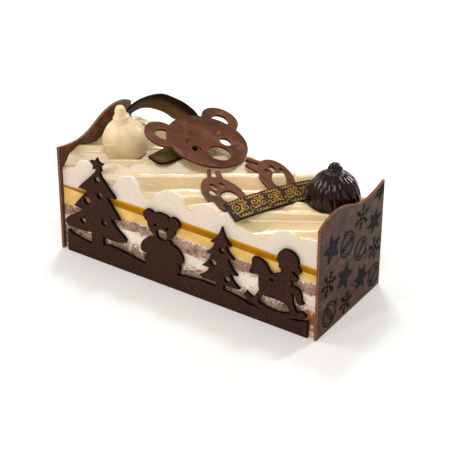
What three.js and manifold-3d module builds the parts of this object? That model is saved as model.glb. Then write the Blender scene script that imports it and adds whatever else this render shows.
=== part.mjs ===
// Yule log cake: five cut layers under a ridged mousse top, chocolate plaques at both ends,
// a chocolate fence of cut-out figures along each long side, and chocolate decorations on top.
// Units are millimetres. +X runs along the log, -Y is the long side with the front fence, +Z is up.
// The layers are drawn about the middle of the log's base; the last lines centre the whole part.

import * as THREE from 'three';
import { mergeVertices } from 'three/addons/utils/BufferGeometryUtils.js';
import Module from 'manifold-3d';

const wasm = await Module();
wasm.setup();

// ---------------------------------------------------------------- driving dimensions

const LOG_LENGTH = 250;          // over both end plaques
const PLAQUE_WIDTH = 99.6;
const PLAQUE_THICKNESS = 2.3;
const PLAQUE_RAISE = 0.5;        // the right plaque is higher than the drawn edge, the left one lower

const CAKE_HALF_DEPTH = 46.5;
const FENCE_FRONT = 50.3;        // distance of the fence's outer face from the middle
const FENCE_THICKNESS = 3;
const SHEET_CHOCOLATE = 3;       // thickness of the head and the paws
const BAR_THICKNESS = 1.6;
const BAR_WIDTH = 20.5;
const BAR_LENGTH = 79.3;
const RIBBON_THICKNESS = 1.8;
const GAP = 0.3;                 // clearance between pieces that touch
const FACET = 3;                 // length of the straight sides that make up a round edge

const CAKE_HALF_LENGTH = LOG_LENGTH / 2 - PLAQUE_THICKNESS - GAP;
const LAYER_GAP = 0.1;
const STATIONS = 28;             // slices along the log in each layer

// Heights of the boundaries between the layers, by distance along the log.
const LAYER_X = [-122, -60, 0, 60, 122];
const BASE_TOP = [26, 26.5, 26, 22.5, 28];
const CREAM_TOP = [32, 37.5, 35, 37, 37];
const SPONGE_TOP = [42, 47, 48, 47.5, 50];
const YELLOW_TOP = [58, 56.3, 57, 56.8, 56.5];
const GEL_TOP = [60.1, 63.3, 64, 63.6, 62.5];

// Top edge of an end plaque seen from outside: [distance to the right of its middle, height].
const PLAQUE_EDGE = [
  [-49.8, 98.4], [-42, 102.2], [-36, 103.8], [-29, 104.5], [-23, 104.4], [-11, 102.1], [-4, 99.3],
  [7, 94.8], [16, 92.6], [24, 92], [35, 93], [49.8, 96.2],
];

// Section of the mousse top across its ridges, which run diagonally over the log:
// [distance along the front edge, height].
const RIDGE_RUN = 1.51;          // the ridges move this far along X for each millimetre of Y
const RIDGES = [
  [-290, 84], [-262, 85], [-248, 86.9], [-240, 85], [-228, 88.6], [-213, 85.5], [-203, 82.5],
  [-190, 81], [-175, 83], [-163, 85.2], [-154.4, 86.8], [-143.8, 85.5], [-137, 84.6],
  [-131.8, 81], [-124, 75.8], [-117, 78.6], [-110, 82], [-104.6, 88.6], [-98.8, 90],
  [-94.2, 88.1], [-83, 81.5], [-72.9, 76.6], [-65, 86.5], [-59, 90.3], [-51.8, 90.2],
  [-48.2, 86.5], [-39.3, 77.7], [-34.7, 77.5], [-27.3, 83.2], [-17.2, 88.1], [-6.4, 86],
  [3.7, 78.7], [10.4, 85], [19, 88.2], [30.2, 84], [36, 86], [40, 84.6], [45, 79.5],
  [62.4, 75.2], [74.3, 76], [86, 84.8], [94.4, 87.4], [105.1, 84.5], [110.3, 86],
  [116.6, 87.2], [126, 85],
];
// At the back the ridges sink towards this height over the last stretch before the edge.
const BACK_FALL_TO = 75;
const BACK_FALL_SHARE = 0.67;
// Some crests dip before they reach a long face: [distance along, drop, half width, side, reach].
const CREST_DIPS = [
  [-60, 3.2, 8, -1, 5], [-24, 1.2, 8, -1, 5], [13, 1, 8, -1, 5], [34, 2.3, 6, -1, 5],
  [-143, 3.6, 8, 1, 14],
];

// ---------------------------------------------------------------- colours

const COLOURS = {
  crumble: 0xb98b66,
  cream: 0xeee0cd,
  sponge: 0xbfa48e,
  yellow: 0xe9c56a,
  gel: 0xd98c0c,
  mousse: 0xe6cf9f,
  dark: 0x33201a,
  milk: 0x6f4637,
  ivory: 0xe2cf9c,
  black: 0x1d1110,
  olive: 0x3a3022,
  bar: 0x2e2729,
};

function material(colour, roughness) {
  return new THREE.MeshStandardMaterial({ color: colour, roughness, metalness: 0 });
}

// ---------------------------------------------------------------- solids

function toSolid(geometry) {
  const bare = geometry.clone();
  bare.deleteAttribute('normal');
  bare.deleteAttribute('uv');
  const merged = mergeVertices(bare, 1e-4);
  return new wasm.Manifold(new wasm.Mesh({
    numProp: 3,
    vertProperties: merged.attributes.position.array,
    triVerts: new Uint32Array(merged.index.array),
  }));
}

function toGeometry(solid) {
  const mesh = solid.getMesh();
  const geometry = new THREE.BufferGeometry();
  geometry.setAttribute('position', new THREE.BufferAttribute(mesh.vertProperties.slice(), 3));
  geometry.setIndex(new THREE.BufferAttribute(mesh.triVerts.slice(), 1));
  geometry.computeVertexNormals();
  return geometry;
}

// Volume inside the triangles, which tells whether they face outwards.
function signedVolume(points, faces) {
  let volume = 0;
  for (const [a, b, c] of faces) {
    volume += points[a].dot(points[b].clone().cross(points[c])) / 6;
  }
  return volume;
}

// A closed body through rings of points, with a fan of triangles over each end.
function loft(rings) {
  const count = rings[0].length;
  const points = rings.flat();
  const faces = [];
  for (let i = 0; i < rings.length - 1; i++) {
    for (let j = 0; j < count; j++) {
      const a = i * count + j;
      const d = i * count + (j + 1) % count;
      faces.push([a, a + count, d + count]);
      faces.push([a, d + count, d]);
    }
  }
  for (const [ring, flip] of [[0, false], [rings.length - 1, true]]) {
    const centre = points.length;
    const middle = new THREE.Vector3();
    rings[ring].forEach((point) => middle.addScaledVector(point, 1 / count));
    points.push(middle);
    for (let j = 0; j < count; j++) {
      const a = ring * count + j;
      const b = ring * count + (j + 1) % count;
      faces.push(flip ? [centre, b, a] : [centre, a, b]);
    }
  }
  if (signedVolume(points, faces) < 0) faces.forEach((face) => face.reverse());
  const geometry = new THREE.BufferGeometry().setFromPoints(points);
  geometry.setIndex(faces.flat());
  geometry.computeVertexNormals();
  return geometry;
}

// A smooth curve through [position, value] pairs.
function curve(positions, values) {
  const spline = new THREE.CubicInterpolant(positions, values, 1, new Float32Array(1));
  return (x) => spline.evaluate(x)[0];
}

// Smooth unevenness between -1 and 1.
function ripple(u, v) {
  const broad = 0.5 * Math.sin(1.9 * u + 0.7 * v);
  const middle = 0.3 * Math.sin(-0.8 * u + 2.3 * v + 1.7);
  const fine = 0.2 * Math.sin(3.7 * u + 3.1 * v);
  return broad + middle + fine;
}

// ---------------------------------------------------------------- flat outlines

// An outline that starts at a point and goes on to points [x, y] in straight lines,
// or to points [controlX, controlY, x, y] in curves.
function trace(start, ...moves) {
  const shape = new THREE.Shape().moveTo(...start);
  for (const move of moves) {
    if (move.length === 2) shape.lineTo(...move);
    else shape.quadraticCurveTo(...move);
  }
  return shape.closePath();
}

// An oval with sides about FACET long.
function ellipse(x, y, radiusX, radiusY = radiusX, turn = 0) {
  const oval = new THREE.EllipseCurve(x, y, radiusX, radiusY, 0, 2 * Math.PI, false, turn);
  const sides = THREE.MathUtils.clamp(Math.round(oval.getLength() / FACET), 10, 44);
  return new THREE.Shape(oval.getPoints(sides).slice(0, sides));
}

function star(x, y, outer, inner, squash) {
  const points = [];
  for (let i = 0; i < 10; i++) {
    const radius = i % 2 ? inner : outer;
    const angle = Math.PI / 2 + i * Math.PI / 5;
    const [across, up] = [radius * Math.cos(angle), squash * radius * Math.sin(angle)];
    points.push(new THREE.Vector2(x + across, y + up));
  }
  return new THREE.Shape(points);
}

// A strip of the given width along straight stretches between points.
function strip(width, ...points) {
  const strips = [];
  for (let i = 0; i < points.length - 1; i++) {
    const [a, b] = [new THREE.Vector2(...points[i]), new THREE.Vector2(...points[i + 1])];
    const side = b.clone().sub(a).normalize().rotateAround(new THREE.Vector2(), Math.PI / 2);
    side.multiplyScalar(width / 2);
    const corners = [a.clone().add(side), a.clone().sub(side), b.clone().sub(side), b.clone().add(side)];
    strips.push(new THREE.Shape(corners));
  }
  return strips;
}

// Cuts a sheet of chocolate: every shape joined in one plate, less the holes.
function sheet(shapes, holes, thickness) {
  const slab = (shape, from, depth) => {
    const geometry = new THREE.ExtrudeGeometry(shape, { depth, bevelEnabled: false, curveSegments: 3 });
    return toSolid(geometry.translate(0, 0, from));
  };
  let plate = null;
  for (const shape of shapes) {
    const next = slab(shape, 0, thickness);
    plate = plate ? plate.add(next) : next;
  }
  for (const hole of holes) plate = plate.subtract(slab(hole, -1, thickness + 2));
  return plate;
}

// ---------------------------------------------------------------- placing

const cake = new THREE.Group();
const UP = new THREE.Vector3(0, 0, 1);

function addMesh(name, geometry, colour, roughness, parent = cake) {
  const mesh = new THREE.Mesh(geometry, material(colour, roughness));
  mesh.name = name;
  parent.add(mesh);
  return mesh;
}

// The rotation that turns a flat drawing so that its X runs along `across`, its Y near `up`.
function facing(across, up) {
  const x = new THREE.Vector3(...across).normalize();
  const z = x.clone().cross(new THREE.Vector3(...up)).normalize();
  return new THREE.Matrix4().makeBasis(x, z.clone().cross(x), z);
}

function stand(object, at, across, up) {
  object.position.set(...at);
  object.quaternion.setFromRotationMatrix(facing(across, up));
  return object;
}

// The same turn and place for a solid that cuts the mousse.
function stood(solid, at, across, up) {
  const geometry = toGeometry(solid).applyMatrix4(facing(across, up).setPosition(...at));
  return toSolid(geometry);
}

// ---------------------------------------------------------------- layers

const baseTop = curve(LAYER_X, BASE_TOP);
const creamTop = curve(LAYER_X, CREAM_TOP);
const spongeTop = curve(LAYER_X, SPONGE_TOP);
const yellowTop = curve(LAYER_X, YELLOW_TOP);
const gelTop = curve(LAYER_X, GEL_TOP);

// One cut layer between two heights, with uneven long faces.
function layer(bottom, top, relief, rows) {
  const rings = [];
  for (let i = 0; i <= STATIONS; i++) {
    const x = CAKE_HALF_LENGTH * (2 * i / STATIONS - 1);
    const face = (side) => {
      const points = [];
      for (let row = 0; row <= rows; row++) {
        const z = THREE.MathUtils.lerp(bottom(x), top(x), row / rows);
        const y = side * (CAKE_HALF_DEPTH + relief * ripple(0.31 * x + side, 0.4 * z));
        points.push(new THREE.Vector3(x, y, z));
      }
      return points;
    };
    rings.push([...face(-1), ...face(1).reverse()]);
  }
  return loft(rings);
}

function between(lower, upper, relief = 0.12, rows = 2) {
  const bottom = (x) => lower(x) + LAYER_GAP / 2;
  const top = (x) => upper(x) - LAYER_GAP / 2;
  return layer(bottom, top, relief, rows);
}

function addLayers() {
  const base = layer(() => 0, (x) => baseTop(x) - LAYER_GAP / 2, 0.4, 5);
  addMesh('base_crumble', base, COLOURS.crumble, 0.85);
  addMesh('cream_lower', between(baseTop, creamTop), COLOURS.cream, 0.55);
  addMesh('nut_sponge', between(creamTop, spongeTop, 0.25, 3), COLOURS.sponge, 0.85);
  addMesh('cream_yellow', between(spongeTop, yellowTop), COLOURS.yellow, 0.5);
  addMesh('fruit_gel', between(yellowTop, gelTop), COLOURS.gel, 0.3);
}

// ---------------------------------------------------------------- mousse top

const RIDGE_STEP = 4;
const RIDGE_SLICES = [-46.7, -41.5, -29, -9, 11, 26, 34, 39, 43.5, 46.7];
const ridgeHeight = curve(RIDGES.map(([x]) => x), RIDGES.map(([, z]) => z));

// How much of a ridge's height is left near the back edge. The ridges at the far left keep theirs.
function backFall(x0, y) {
  const start = THREE.MathUtils.mapLinear(THREE.MathUtils.clamp(x0, -57, -17), -57, -17, 36, 27);
  const near = THREE.MathUtils.smoothstep(y, start, CAKE_HALF_DEPTH);
  return 1 - BACK_FALL_SHARE * near * THREE.MathUtils.smoothstep(x0, -135, -110);
}

// How far a crest dips at this place.
function crestDip(x0, y) {
  let total = 0;
  for (const [at, drop, width, side, reach] of CREST_DIPS) {
    const near = 1 - THREE.MathUtils.smoothstep(CAKE_HALF_DEPTH - side * y, 0, reach);
    total += near * drop * Math.exp(-(((x0 - at) / width) ** 2));
  }
  return total;
}

// The ridged top as one long body whose section is carried along the ridges.
function ridgedBody() {
  const first = RIDGES[0][0];
  const last = RIDGES[RIDGES.length - 1][0];
  const steps = Math.round((last - first) / RIDGE_STEP);
  const floor = 40;
  const rings = RIDGE_SLICES.map((y) => {
    const along = (x0) => x0 + RIDGE_RUN * (y + CAKE_HALF_DEPTH) + 1.2 * Math.sin(y / 17);
    const ring = [new THREE.Vector3(along(first), y, floor)];
    for (let s = 0; s <= steps; s++) {
      const x0 = THREE.MathUtils.lerp(first, last, s / steps);
      const sway = 0.5 * Math.sin(0.11 * x0 + y / 14);
      const crest = Math.max(0, ridgeHeight(x0) - BACK_FALL_TO);
      const fall = crest * (1 - backFall(x0, y)) + crestDip(x0, y);
      ring.push(new THREE.Vector3(along(x0), y, ridgeHeight(x0) - fall + sway));
    }
    ring.push(new THREE.Vector3(along(last), y, floor));
    return ring;
  });
  return toSolid(loft(rings));
}

function addMousse(pockets) {
  const block = toSolid(layer((x) => gelTop(x) + LAYER_GAP / 2, () => 120, 0.1, 1));
  let mousse = block.intersect(ridgedBody());
  for (const pocket of pockets) mousse = mousse.subtract(pocket);
  addMesh('mousse_top', toGeometry(mousse), COLOURS.mousse, 0.35);
}

// ---------------------------------------------------------------- end plaques

// A plaque seen from its outer face: straight sides, flat foot and one wave along the top.
function plaqueOutline(raise) {
  const edge = curve(PLAQUE_EDGE.map(([y]) => y), PLAQUE_EDGE.map(([, z]) => z + raise));
  const half = PLAQUE_WIDTH / 2;
  const points = [new THREE.Vector2(-half, 0), new THREE.Vector2(half, 0)];
  const steps = 24;
  for (let i = 0; i <= steps; i++) {
    const y = half * (1 - 2 * i / steps);
    points.push(new THREE.Vector2(y, edge(y)));
  }
  return new THREE.Shape(points);
}

function addPlaque(name, side) {
  const geometry = toGeometry(sheet([plaqueOutline(side * PLAQUE_RAISE)], [], PLAQUE_THICKNESS));
  const inner = LOG_LENGTH / 2 - PLAQUE_THICKNESS;
  const plaque = addMesh(name, geometry, COLOURS.milk, 0.5);
  stand(plaque, [side * inner, 0, 0], [0, side, 0], [0, 0, 1]);
}

// ---------------------------------------------------------------- fence of figures

// The figures stand in a strip of ground whose top edge rises and falls like drifted snow.
function ground() {
  const top = [
    [-117.8, 19.8], [-103.6, 15.5], [-86, 14.8], [-74, 18.6], [-57, 17], [-39, 14.3], [-20, 14],
    [-4.4, 14.7], [16, 17], [38.9, 16], [51.4, 14.6], [64.3, 11.8], [86, 10.8], [107.1, 12.5],
    [116.8, 15.4],
  ];
  const shape = new THREE.Shape().moveTo(top[0][0], 0).lineTo(...top[0]);
  shape.splineThru(top.slice(1).map(([x, z]) => new THREE.Vector2(x, z)));
  return shape.lineTo(top[top.length - 1][0], 0).closePath();
}

// A tall fir with three broad tiers and a star on its tip.
function starFir() {
  const fir = trace(
    [-80.2, 12], [-80.2, 25.4], [-68, 23.2, -59.5, 26.2], [-54, 28, -57.6, 31],
    [-67, 37.6, -72.1, 45.1], [-62.1, 46.6], [-75.5, 64.3], [-65.9, 65.1], [-81.8, 86.4],
    [-82.6, 89.6], [-85, 89.6],
    [-85.3, 85], [-104.4, 64.5], [-95.4, 64.1], [-109.4, 45.9], [-100, 44.8],
    [-107.5, 38.2, -115.7, 33.4], [-120, 30.5, -118.9, 27], [-117, 23.8, -109, 24.2],
    [-100, 23.8, -92.3, 25.6], [-92.3, 12],
  );
  const holes = [[-84.4, 77.8, 3], [-81.8, 63.2, 3], [-95.4, 54.8, 3.4], [-78.6, 39.1, 3],
    [-100.6, 34.1, 2.8]];
  return { shapes: [fir, star(-83.8, 91.4, 7.4, 3.8, 0.85)], holes: holes.map((h) => ellipse(...h)) };
}

// A slender fir whose boughs sweep out to points.
function sweptFir() {
  const fir = trace(
    [38.8, 12], [38.8, 21.6], [46, 20.4, 54.4, 22.2], [47.2, 26.5, 45, 33.2], [52.1, 33.6],
    [45.4, 38.5, 42.9, 46.4], [49.3, 47.5], [43, 51.5, 40.7, 57.1], [45.9, 58.2],
    [39.8, 63.5, 37.2, 73.8], [34.4, 63.5, 26.3, 57.2], [30.5, 56.9], [28, 50.5, 22.5, 45.9],
    [27.3, 45.6], [25, 38.5, 18.4, 32.5], [25.4, 32.6], [22.8, 26.5, 15.9, 22.2],
    [24, 19.8, 31.6, 21.6], [31.6, 12],
  );
  const holes = [[37.4, 52.4, 2.6], [29.4, 38.1, 3], [42.3, 27.1, 2.8]];
  return { shapes: [fir], holes: holes.map((h) => ellipse(...h)) };
}

// A sitting bear, the same on both sides of its middle.
function sittingBear() {
  const middle = -20.7;
  const shapes = [
    ellipse(middle, 55, 13.8, 11.8),                     // head
    ellipse(middle, 31, 14.5, 14.5),                     // trunk
    ellipse(middle, 20, 17.6, 9.6),                      // seat and legs
  ];
  const holes = [ellipse(middle + 0.4, 46.9, 5.3, 5.1)]; // muzzle
  for (const side of [-1, 1]) {
    shapes.push(ellipse(middle + side * 12.1, 61, 5.7)); // ear
    shapes.push(ellipse(middle + side * 13.6, 33, 9.4, 5.6, side * -0.85)); // arm
    holes.push(ellipse(middle + side * 5.8, 54.4, 1.3)); // eye
  }
  return { shapes, holes };
}

// A rocking horse with its rocker, legs and tail.
function rockingHorse() {
  const horse = trace(
    [60, 14.6], [66.5, 19], [70.4, 24.4, 72.1, 28.6], [71, 35, 71.6, 42.3], [67.9, 42.4],
    [65, 41.1], [62.6, 41.2, 63.2, 43.8], [64.6, 47, 65.4, 52], [64.4, 57.6, 69, 57.2],
    [77.6, 56.8, 80.4, 50.4], [82, 47.4, 84.5, 46], [96, 42], [101, 39.8], [102.6, 33, 103.4, 27],
    [104.8, 22, 108, 17.6], [103, 15], [98.6, 21.8], [96.4, 25, 91, 25], [75.7, 25],
    [72.6, 21.5, 70.7, 15],
  );
  const tail = trace(
    [98.5, 40.5], [105, 44, 108.6, 40.4], [110.6, 37.6, 110.8, 33.4], [111, 30.6, 113.2, 29.6],
    [109.6, 26.8, 107, 28.4], [105.6, 30, 105.2, 32.6], [104.4, 35.6, 101.6, 36.4],
  );
  const centre = [86, 58.3];
  const rocker = new THREE.Shape().absarc(...centre, 48.6, 1.18 * Math.PI + 0.38, 1.82 * Math.PI - 0.38);
  rocker.absarc(...centre, 44.2, 1.82 * Math.PI - 0.38, 1.18 * Math.PI + 0.38, true);
  const knobs = [ellipse(61.8, 18.6, 2.2), ellipse(112.6, 18.8, 2.4)];
  return { shapes: [horse, tail, rocker.closePath(), ...knobs], holes: [ellipse(83.6, 41.8, 2.1, 1.3)] };
}

// A small rider: a round head with a bob of hair behind it, leaning on the horse's neck.
function rider() {
  const trunk = trace(
    [92, 57], [91.4, 51.5], [86.4, 47.9], [79.5, 45.5], [86, 38], [100, 37.5], [101.4, 44],
    [100.9, 48.6], [105.6, 47.2], [106.8, 51.4], [103, 52.6, 101.2, 56],
  );
  const head = ellipse(97.6, 64, 9.4);
  const nose = ellipse(88.7, 62.2, 1.4);
  const chin = ellipse(92.3, 57.2, 2.8);
  const hair = trace([103, 62], [108, 62, 109.5, 57], [107.8, 53, 104.6, 54.6], [104.6, 58, 101.5, 59.6]);
  return { shapes: [trunk, head, nose, chin, hair], holes: [] };
}

function addFences() {
  const figures = [starFir(), sittingBear(), sweptFir(), rockingHorse(), rider()];
  const shapes = [ground(), ...figures.flatMap((figure) => figure.shapes)];
  const holes = figures.flatMap((figure) => figure.holes);
  const geometry = toGeometry(sheet(shapes, holes, FENCE_THICKNESS));
  const inner = FENCE_FRONT - FENCE_THICKNESS;
  const front = addMesh('fence_front', geometry, COLOURS.dark, 0.6);
  stand(front, [0, -inner, 0], [1, 0, 0], [0, 0, 1]);
  const back = addMesh('fence_back', geometry, COLOURS.dark, 0.6);
  stand(back, [0, inner, 0], [-1, 0, 0], [0, 0, 1]);
}

// ---------------------------------------------------------------- bear head and paws

// The head leans back on the chocolate curl. It is drawn about the middle between the ears.
const HEAD = {
  at: [-40.16, 21.13, 108.89],
  across: [0.3504, 0.9342, -0.0672],
  up: [-0.8902, 0.3544, 0.2863],
};

// The whole face leans a little to one side below its ears.
const HEAD_LEAN = 0.115;
const HEAD_LEAN_FROM = 4.6;

function leaning(...oval) {
  const points = ellipse(...oval).getPoints();
  points.forEach((point) => point.setX(point.x - HEAD_LEAN * (point.y - HEAD_LEAN_FROM)));
  return new THREE.Shape(points);
}

function addHead() {
  const face = leaning(0.3, -20, 31.9, 32.5);
  const shapes = [face];
  const holes = [leaning(0, -36.1, 9.6, 9.5)];           // muzzle
  for (const side of [-1, 1]) {
    shapes.push(leaning(side * 28.3, -0.4, 13.8, 15.9)); // ear
    holes.push(leaning(side * 13.9, -26, 4.3, 5.3));     // eye
  }
  let head = sheet(shapes, holes, SHEET_CHOCOLATE);
  for (const side of [-1, 1]) {
    const ear = sheet([leaning(side * 28.1, -0.8, 6.5, 7.2)], [], 2 * SHEET_CHOCOLATE);
    const crescent = ear.subtract(sheet([face], [], 2 * SHEET_CHOCOLATE));
    head = head.subtract(crescent.translate(0, 0, -1));
  }
  const mesh = addMesh('bear_head', toGeometry(head.translate(0, 0, -SHEET_CHOCOLATE)), COLOURS.milk, 0.45);
  stand(mesh, HEAD.at, HEAD.across, HEAD.up);
}

// A paw is a long oval with three toes and a pad cut out of it and two thin claws.
const PAW_LENGTH = 50.8;
const PAW_WIDTH = 28.2;

function pawShapes({ toes, pad, claws }, grow = 0) {
  const shapes = [
    ellipse(0, 0, PAW_LENGTH / 2 + grow, PAW_WIDTH / 2 + grow),
    ...claws.flatMap(([width, ...points]) => strip(width + 2 * grow, ...points)),
  ];
  return { shapes, holes: [...toes, pad].map((hole) => ellipse(...hole)) };
}

// Each paw lies with its far end tipped down under the bar and rolled a little to one side.
function pawPlace(at, heading, dip, roll) {
  const [turn, tip, lean] = [heading, dip, roll].map(THREE.MathUtils.degToRad);
  const along = new THREE.Vector3(Math.cos(tip), 0, -Math.sin(tip)).applyAxisAngle(UP, turn);
  const side = new THREE.Vector3(0, 1, 0).applyAxisAngle(UP, turn).applyAxisAngle(along, lean);
  return [at, along.toArray(), side.toArray()];
}

const PAWS = {
  paw_front: {
    place: pawPlace([25, -27.7, 88.9], -20.2, 6, 5.7),
    toes: [[-12.9, -1.1, 5.2, 2.4], [-10.5, 5.4, 4.4, 2.1], [-7.1, -6, 4.8, 2.5]],
    pad: [5, 1.9, 9, 6.4],
    claws: [[3.2, [-21, 1], [-33.6, 9]], [3.8, [-15, 8.5], [-28.1, 13.4]]],
  },
  paw_back: {
    place: pawPlace([43.3, 20, 88.7], -40.5, 4, -7.7),
    toes: [[-11.7, 0.7, 6, 2.7], [-8.6, 7.5, 4.6, 2.4], [-7.8, -5.3, 4.5, 2.6]],
    pad: [7.4, 0.3, 9.4, 6],
    claws: [[3.4, [-19, -4], [-28.2, -17]], [3.8, [-7, -10], [-20, -19.1]]],
  },
};

function addPaws() {
  for (const [name, paw] of Object.entries(PAWS)) {
    const { shapes, holes } = pawShapes(paw);
    const plate = sheet(shapes, holes, SHEET_CHOCOLATE).translate(0, 0, -SHEET_CHOCOLATE);
    stand(addMesh(name, toGeometry(plate), COLOURS.milk, 0.45), ...paw.place);
  }
}

function pawPockets() {
  return Object.values(PAWS).map((paw) => {
    const footprint = sheet(pawShapes(paw, GAP).shapes, [], 30);
    return stood(footprint.translate(0, 0, -SHEET_CHOCOLATE - GAP), ...paw.place);
  });
}

// ---------------------------------------------------------------- gold bar

// The bar lies across the ends of both paws. It is bowed along its length, and its far corner
// ends against the dark bauble.
const BAR = { at: [34.9, -43.9, 91], across: [0.4767, 0.879, 0.0126], up: [-0.8496, 0.459, 0.2588] };
const BAR_BOW = 2.9;
const BAR_STEPS = 8;

// The bowed strip, grown sideways, between two heights measured from its top face.
function barStrip(grow, low, high) {
  const rings = [];
  for (let i = 0; i <= BAR_STEPS; i++) {
    const t = i / BAR_STEPS;
    const along = THREE.MathUtils.lerp(-grow, BAR_LENGTH + grow, t);
    const corner = (side, z) => new THREE.Vector3(along, side, z + BAR_BOW * 4 * t * (1 - t));
    const far = -BAR_WIDTH - grow;
    rings.push([corner(grow, low), corner(far, low), corner(far, high), corner(grow, high)]);
  }
  return stood(toSolid(loft(rings)), BAR.at, BAR.across, BAR.up);
}

function addBar() {
  const plate = barStrip(0, -BAR_THICKNESS, 0).subtract(darkBaubleRoom());
  addMesh('gold_bar', toGeometry(plate), COLOURS.bar, 0.4);
}

function barPocket() {
  return barStrip(GAP, -BAR_THICKNESS - GAP, 30);
}

// ---------------------------------------------------------------- baubles

// A turned body with its axis along +Z whose radius changes round the axis. `twist` turns each
// height about the axis.
function turned(profile, sides, swell, twist = () => 0) {
  const points = profile.map(([radius, z]) => new THREE.Vector2(radius, z));
  const geometry = new THREE.LatheGeometry(points, sides).rotateX(Math.PI / 2);
  const position = geometry.attributes.position;
  for (let i = 0; i < position.count; i++) {
    const [x, y, z] = [position.getX(i), position.getY(i), position.getZ(i)];
    const point = new THREE.Vector3(x, y, z).applyAxisAngle(UP, twist(z));
    const factor = swell(Math.atan2(y, x), z);
    position.setXYZ(i, point.x * factor, point.y * factor, z);
  }
  return toSolid(geometry);
}

// Points on the arc of a ball between two angles from its middle, as [radius, height].
function ballArc(radius, rise, centreZ, from, to, steps) {
  return Array.from({ length: steps + 1 }, (_, i) => {
    const angle = THREE.MathUtils.degToRad(THREE.MathUtils.lerp(from, to, i / steps));
    return [radius * Math.cos(angle), centreZ + rise * Math.sin(angle)];
  });
}

// Each bauble is widest at `centre` above its foot, and `sink` is the height of its lower half.
const WHITE = {
  at: [-86, -6, 84], radius: 18.25, rise: 18.25, sink: 27, centre: 12, foot: -26.5,
  panels: 6, seam: 41.5, lean: 7,
};
const WHITE_TOP = [
  [6.6, 29.2], [6.2, 30.6], [7, 31.4], [6.9, 33.4], [4.8, 34.6], [4, 39], [2.7, 41.6], [0, 42.2],
];
const DARK = {
  at: [97.1, 18.4, 74.4], radius: 21.2, rise: 22.8, sink: 22.8, centre: 13.6, foot: -36.5,
  ribs: 17, twist: 22,
};
const DARK_TOP = [[6.8, 36.2], [5.7, 37.4], [5.8, 39], [4.4, 41.6], [2.2, 42.9], [0, 43.1]];

// The profile of a bauble's round body from its foot up to its neck.
function bodyArc({ radius, rise, sink, centre, foot }, neck) {
  const lower = ballArc(radius, sink, centre, foot, 0, 3);
  const upper = ballArc(radius, rise, centre, 0, neck, 6);
  return [...lower, ...upper.slice(1)];
}

function addBaubles() {
  const panel = 2 * Math.PI / WHITE.panels;
  const seam = THREE.MathUtils.degToRad(WHITE.seam);
  const white = turned([[0, 0], ...bodyArc(WHITE, 64), ...WHITE_TOP], 4 * WHITE.panels, (angle, z) => {
    if (z > 28) return 1;
    const fromMiddle = Math.abs(THREE.MathUtils.euclideanModulo(angle, panel) - panel / 2);
    return 0.97 + 0.03 * fromMiddle / (panel / 2);
  }, () => seam);
  const whiteMesh = addMesh('bauble_white', toGeometry(white), COLOURS.ivory, 0.45);
  whiteMesh.position.set(...WHITE.at);
  whiteMesh.quaternion.copy(whiteLean());
  const dark = turned([[0, 0], ...bodyArc(DARK, 66), ...DARK_TOP], 2 * DARK.ribs, (angle, z) => {
    const depth = THREE.MathUtils.clamp(0.012 + 0.0022 * z, 0, 0.05);
    return 1 - depth * Math.sin(DARK.ribs * angle / 2) ** 2;
  }, (z) => THREE.MathUtils.degToRad(DARK.twist) * (1 - z / DARK_TOP[0][1]));
  addMesh('bauble_dark', toGeometry(dark), COLOURS.black, 0.2).position.set(...DARK.at);
}

// The white bauble leans to the left, away from the head.
function whiteLean() {
  const axis = new THREE.Vector3(0.5515, -0.834, 0).normalize();
  return new THREE.Quaternion().setFromAxisAngle(axis, THREE.MathUtils.degToRad(WHITE.lean));
}

// Room for a bauble in the mousse: its lower half grown by the gap, open straight up.
function baublePocket({ radius, sink, centre, foot }) {
  const arc = ballArc(radius + 2 * GAP, sink + 2 * GAP, centre, foot, 0, 3);
  const [rim] = arc[arc.length - 1];
  return turned([[0, -GAP], [arc[0][0], -GAP], ...arc, [rim, 60], [0, 60]], 28, () => 1);
}

function darkBaubleRoom() {
  return baublePocket(DARK).translate(...DARK.at);
}

// The dark bauble has pressed the mousse down into a shallow dish, mostly in front of it.
const DISH = { at: [98.4, 15.7, 83.6], radius: 18.5, slope: 0.62, rise: 14 };

function dish() {
  const brim = DISH.radius + DISH.rise / DISH.slope;
  const profile = [[0, 0], [DISH.radius, 0], [brim, DISH.rise], [0, DISH.rise]];
  return turned(profile, 32, () => 1).translate(...DISH.at);
}

function baublePockets() {
  const white = toGeometry(baublePocket(WHITE)).applyQuaternion(whiteLean());
  return [toSolid(white.translate(...WHITE.at)), darkBaubleRoom(), dish()];
}

// ---------------------------------------------------------------- chocolate curl

// Middle line and width of the ribbon from its pointed front end, over the arch, to its back end:
// [outer edge], [inner edge] of each place.
const CURL = [
  [[-57.3, -15.7, 91.2], [-57.9, -14.6, 91.2]],
  [[-50.4, -17.9, 91.2], [-57.8, -12.5, 91.2]],
  [[-43.9, -19.2, 91], [-57, -9, 91.1]],
  [[-38, -14.5, 91], [-56.4, -5, 91.2]],
  [[-34.5, -3.8, 91], [-55.5, 3, 91.5]],
  [[-31, 16, 92], [-54, 20, 94]],
  [[-35, 32, 97], [-56, 33, 99]],
  [[-48.7, 43.2, 106.9], [-61, 42.6, 98.5]],
  [[-58.8, 40.5, 115.6], [-73.4, 44.2, 96.6]],
  [[-69.8, 38, 119.6], [-81.6, 44, 99.6]],
  [[-78.6, 36, 121.2], [-89.2, 43, 101.2]],
  [[-86.7, 33, 119.4], [-95.7, 42, 101.5]],
  [[-94.6, 31, 115.5], [-101.3, 41, 100.9]],
  [[-102.5, 28.5, 109.8], [-107.4, 40, 98.5]],
  [[-108.1, 24, 102.7], [-115.1, 37.5, 92]],
  [[-110, 19.5, 93.5], [-115.6, 33, 86.5]],
];

function edgeCurve(side) {
  const places = CURL.map((place) => new THREE.Vector3(...place[side]));
  return new THREE.CatmullRomCurve3(places, false, 'centripetal');
}

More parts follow.
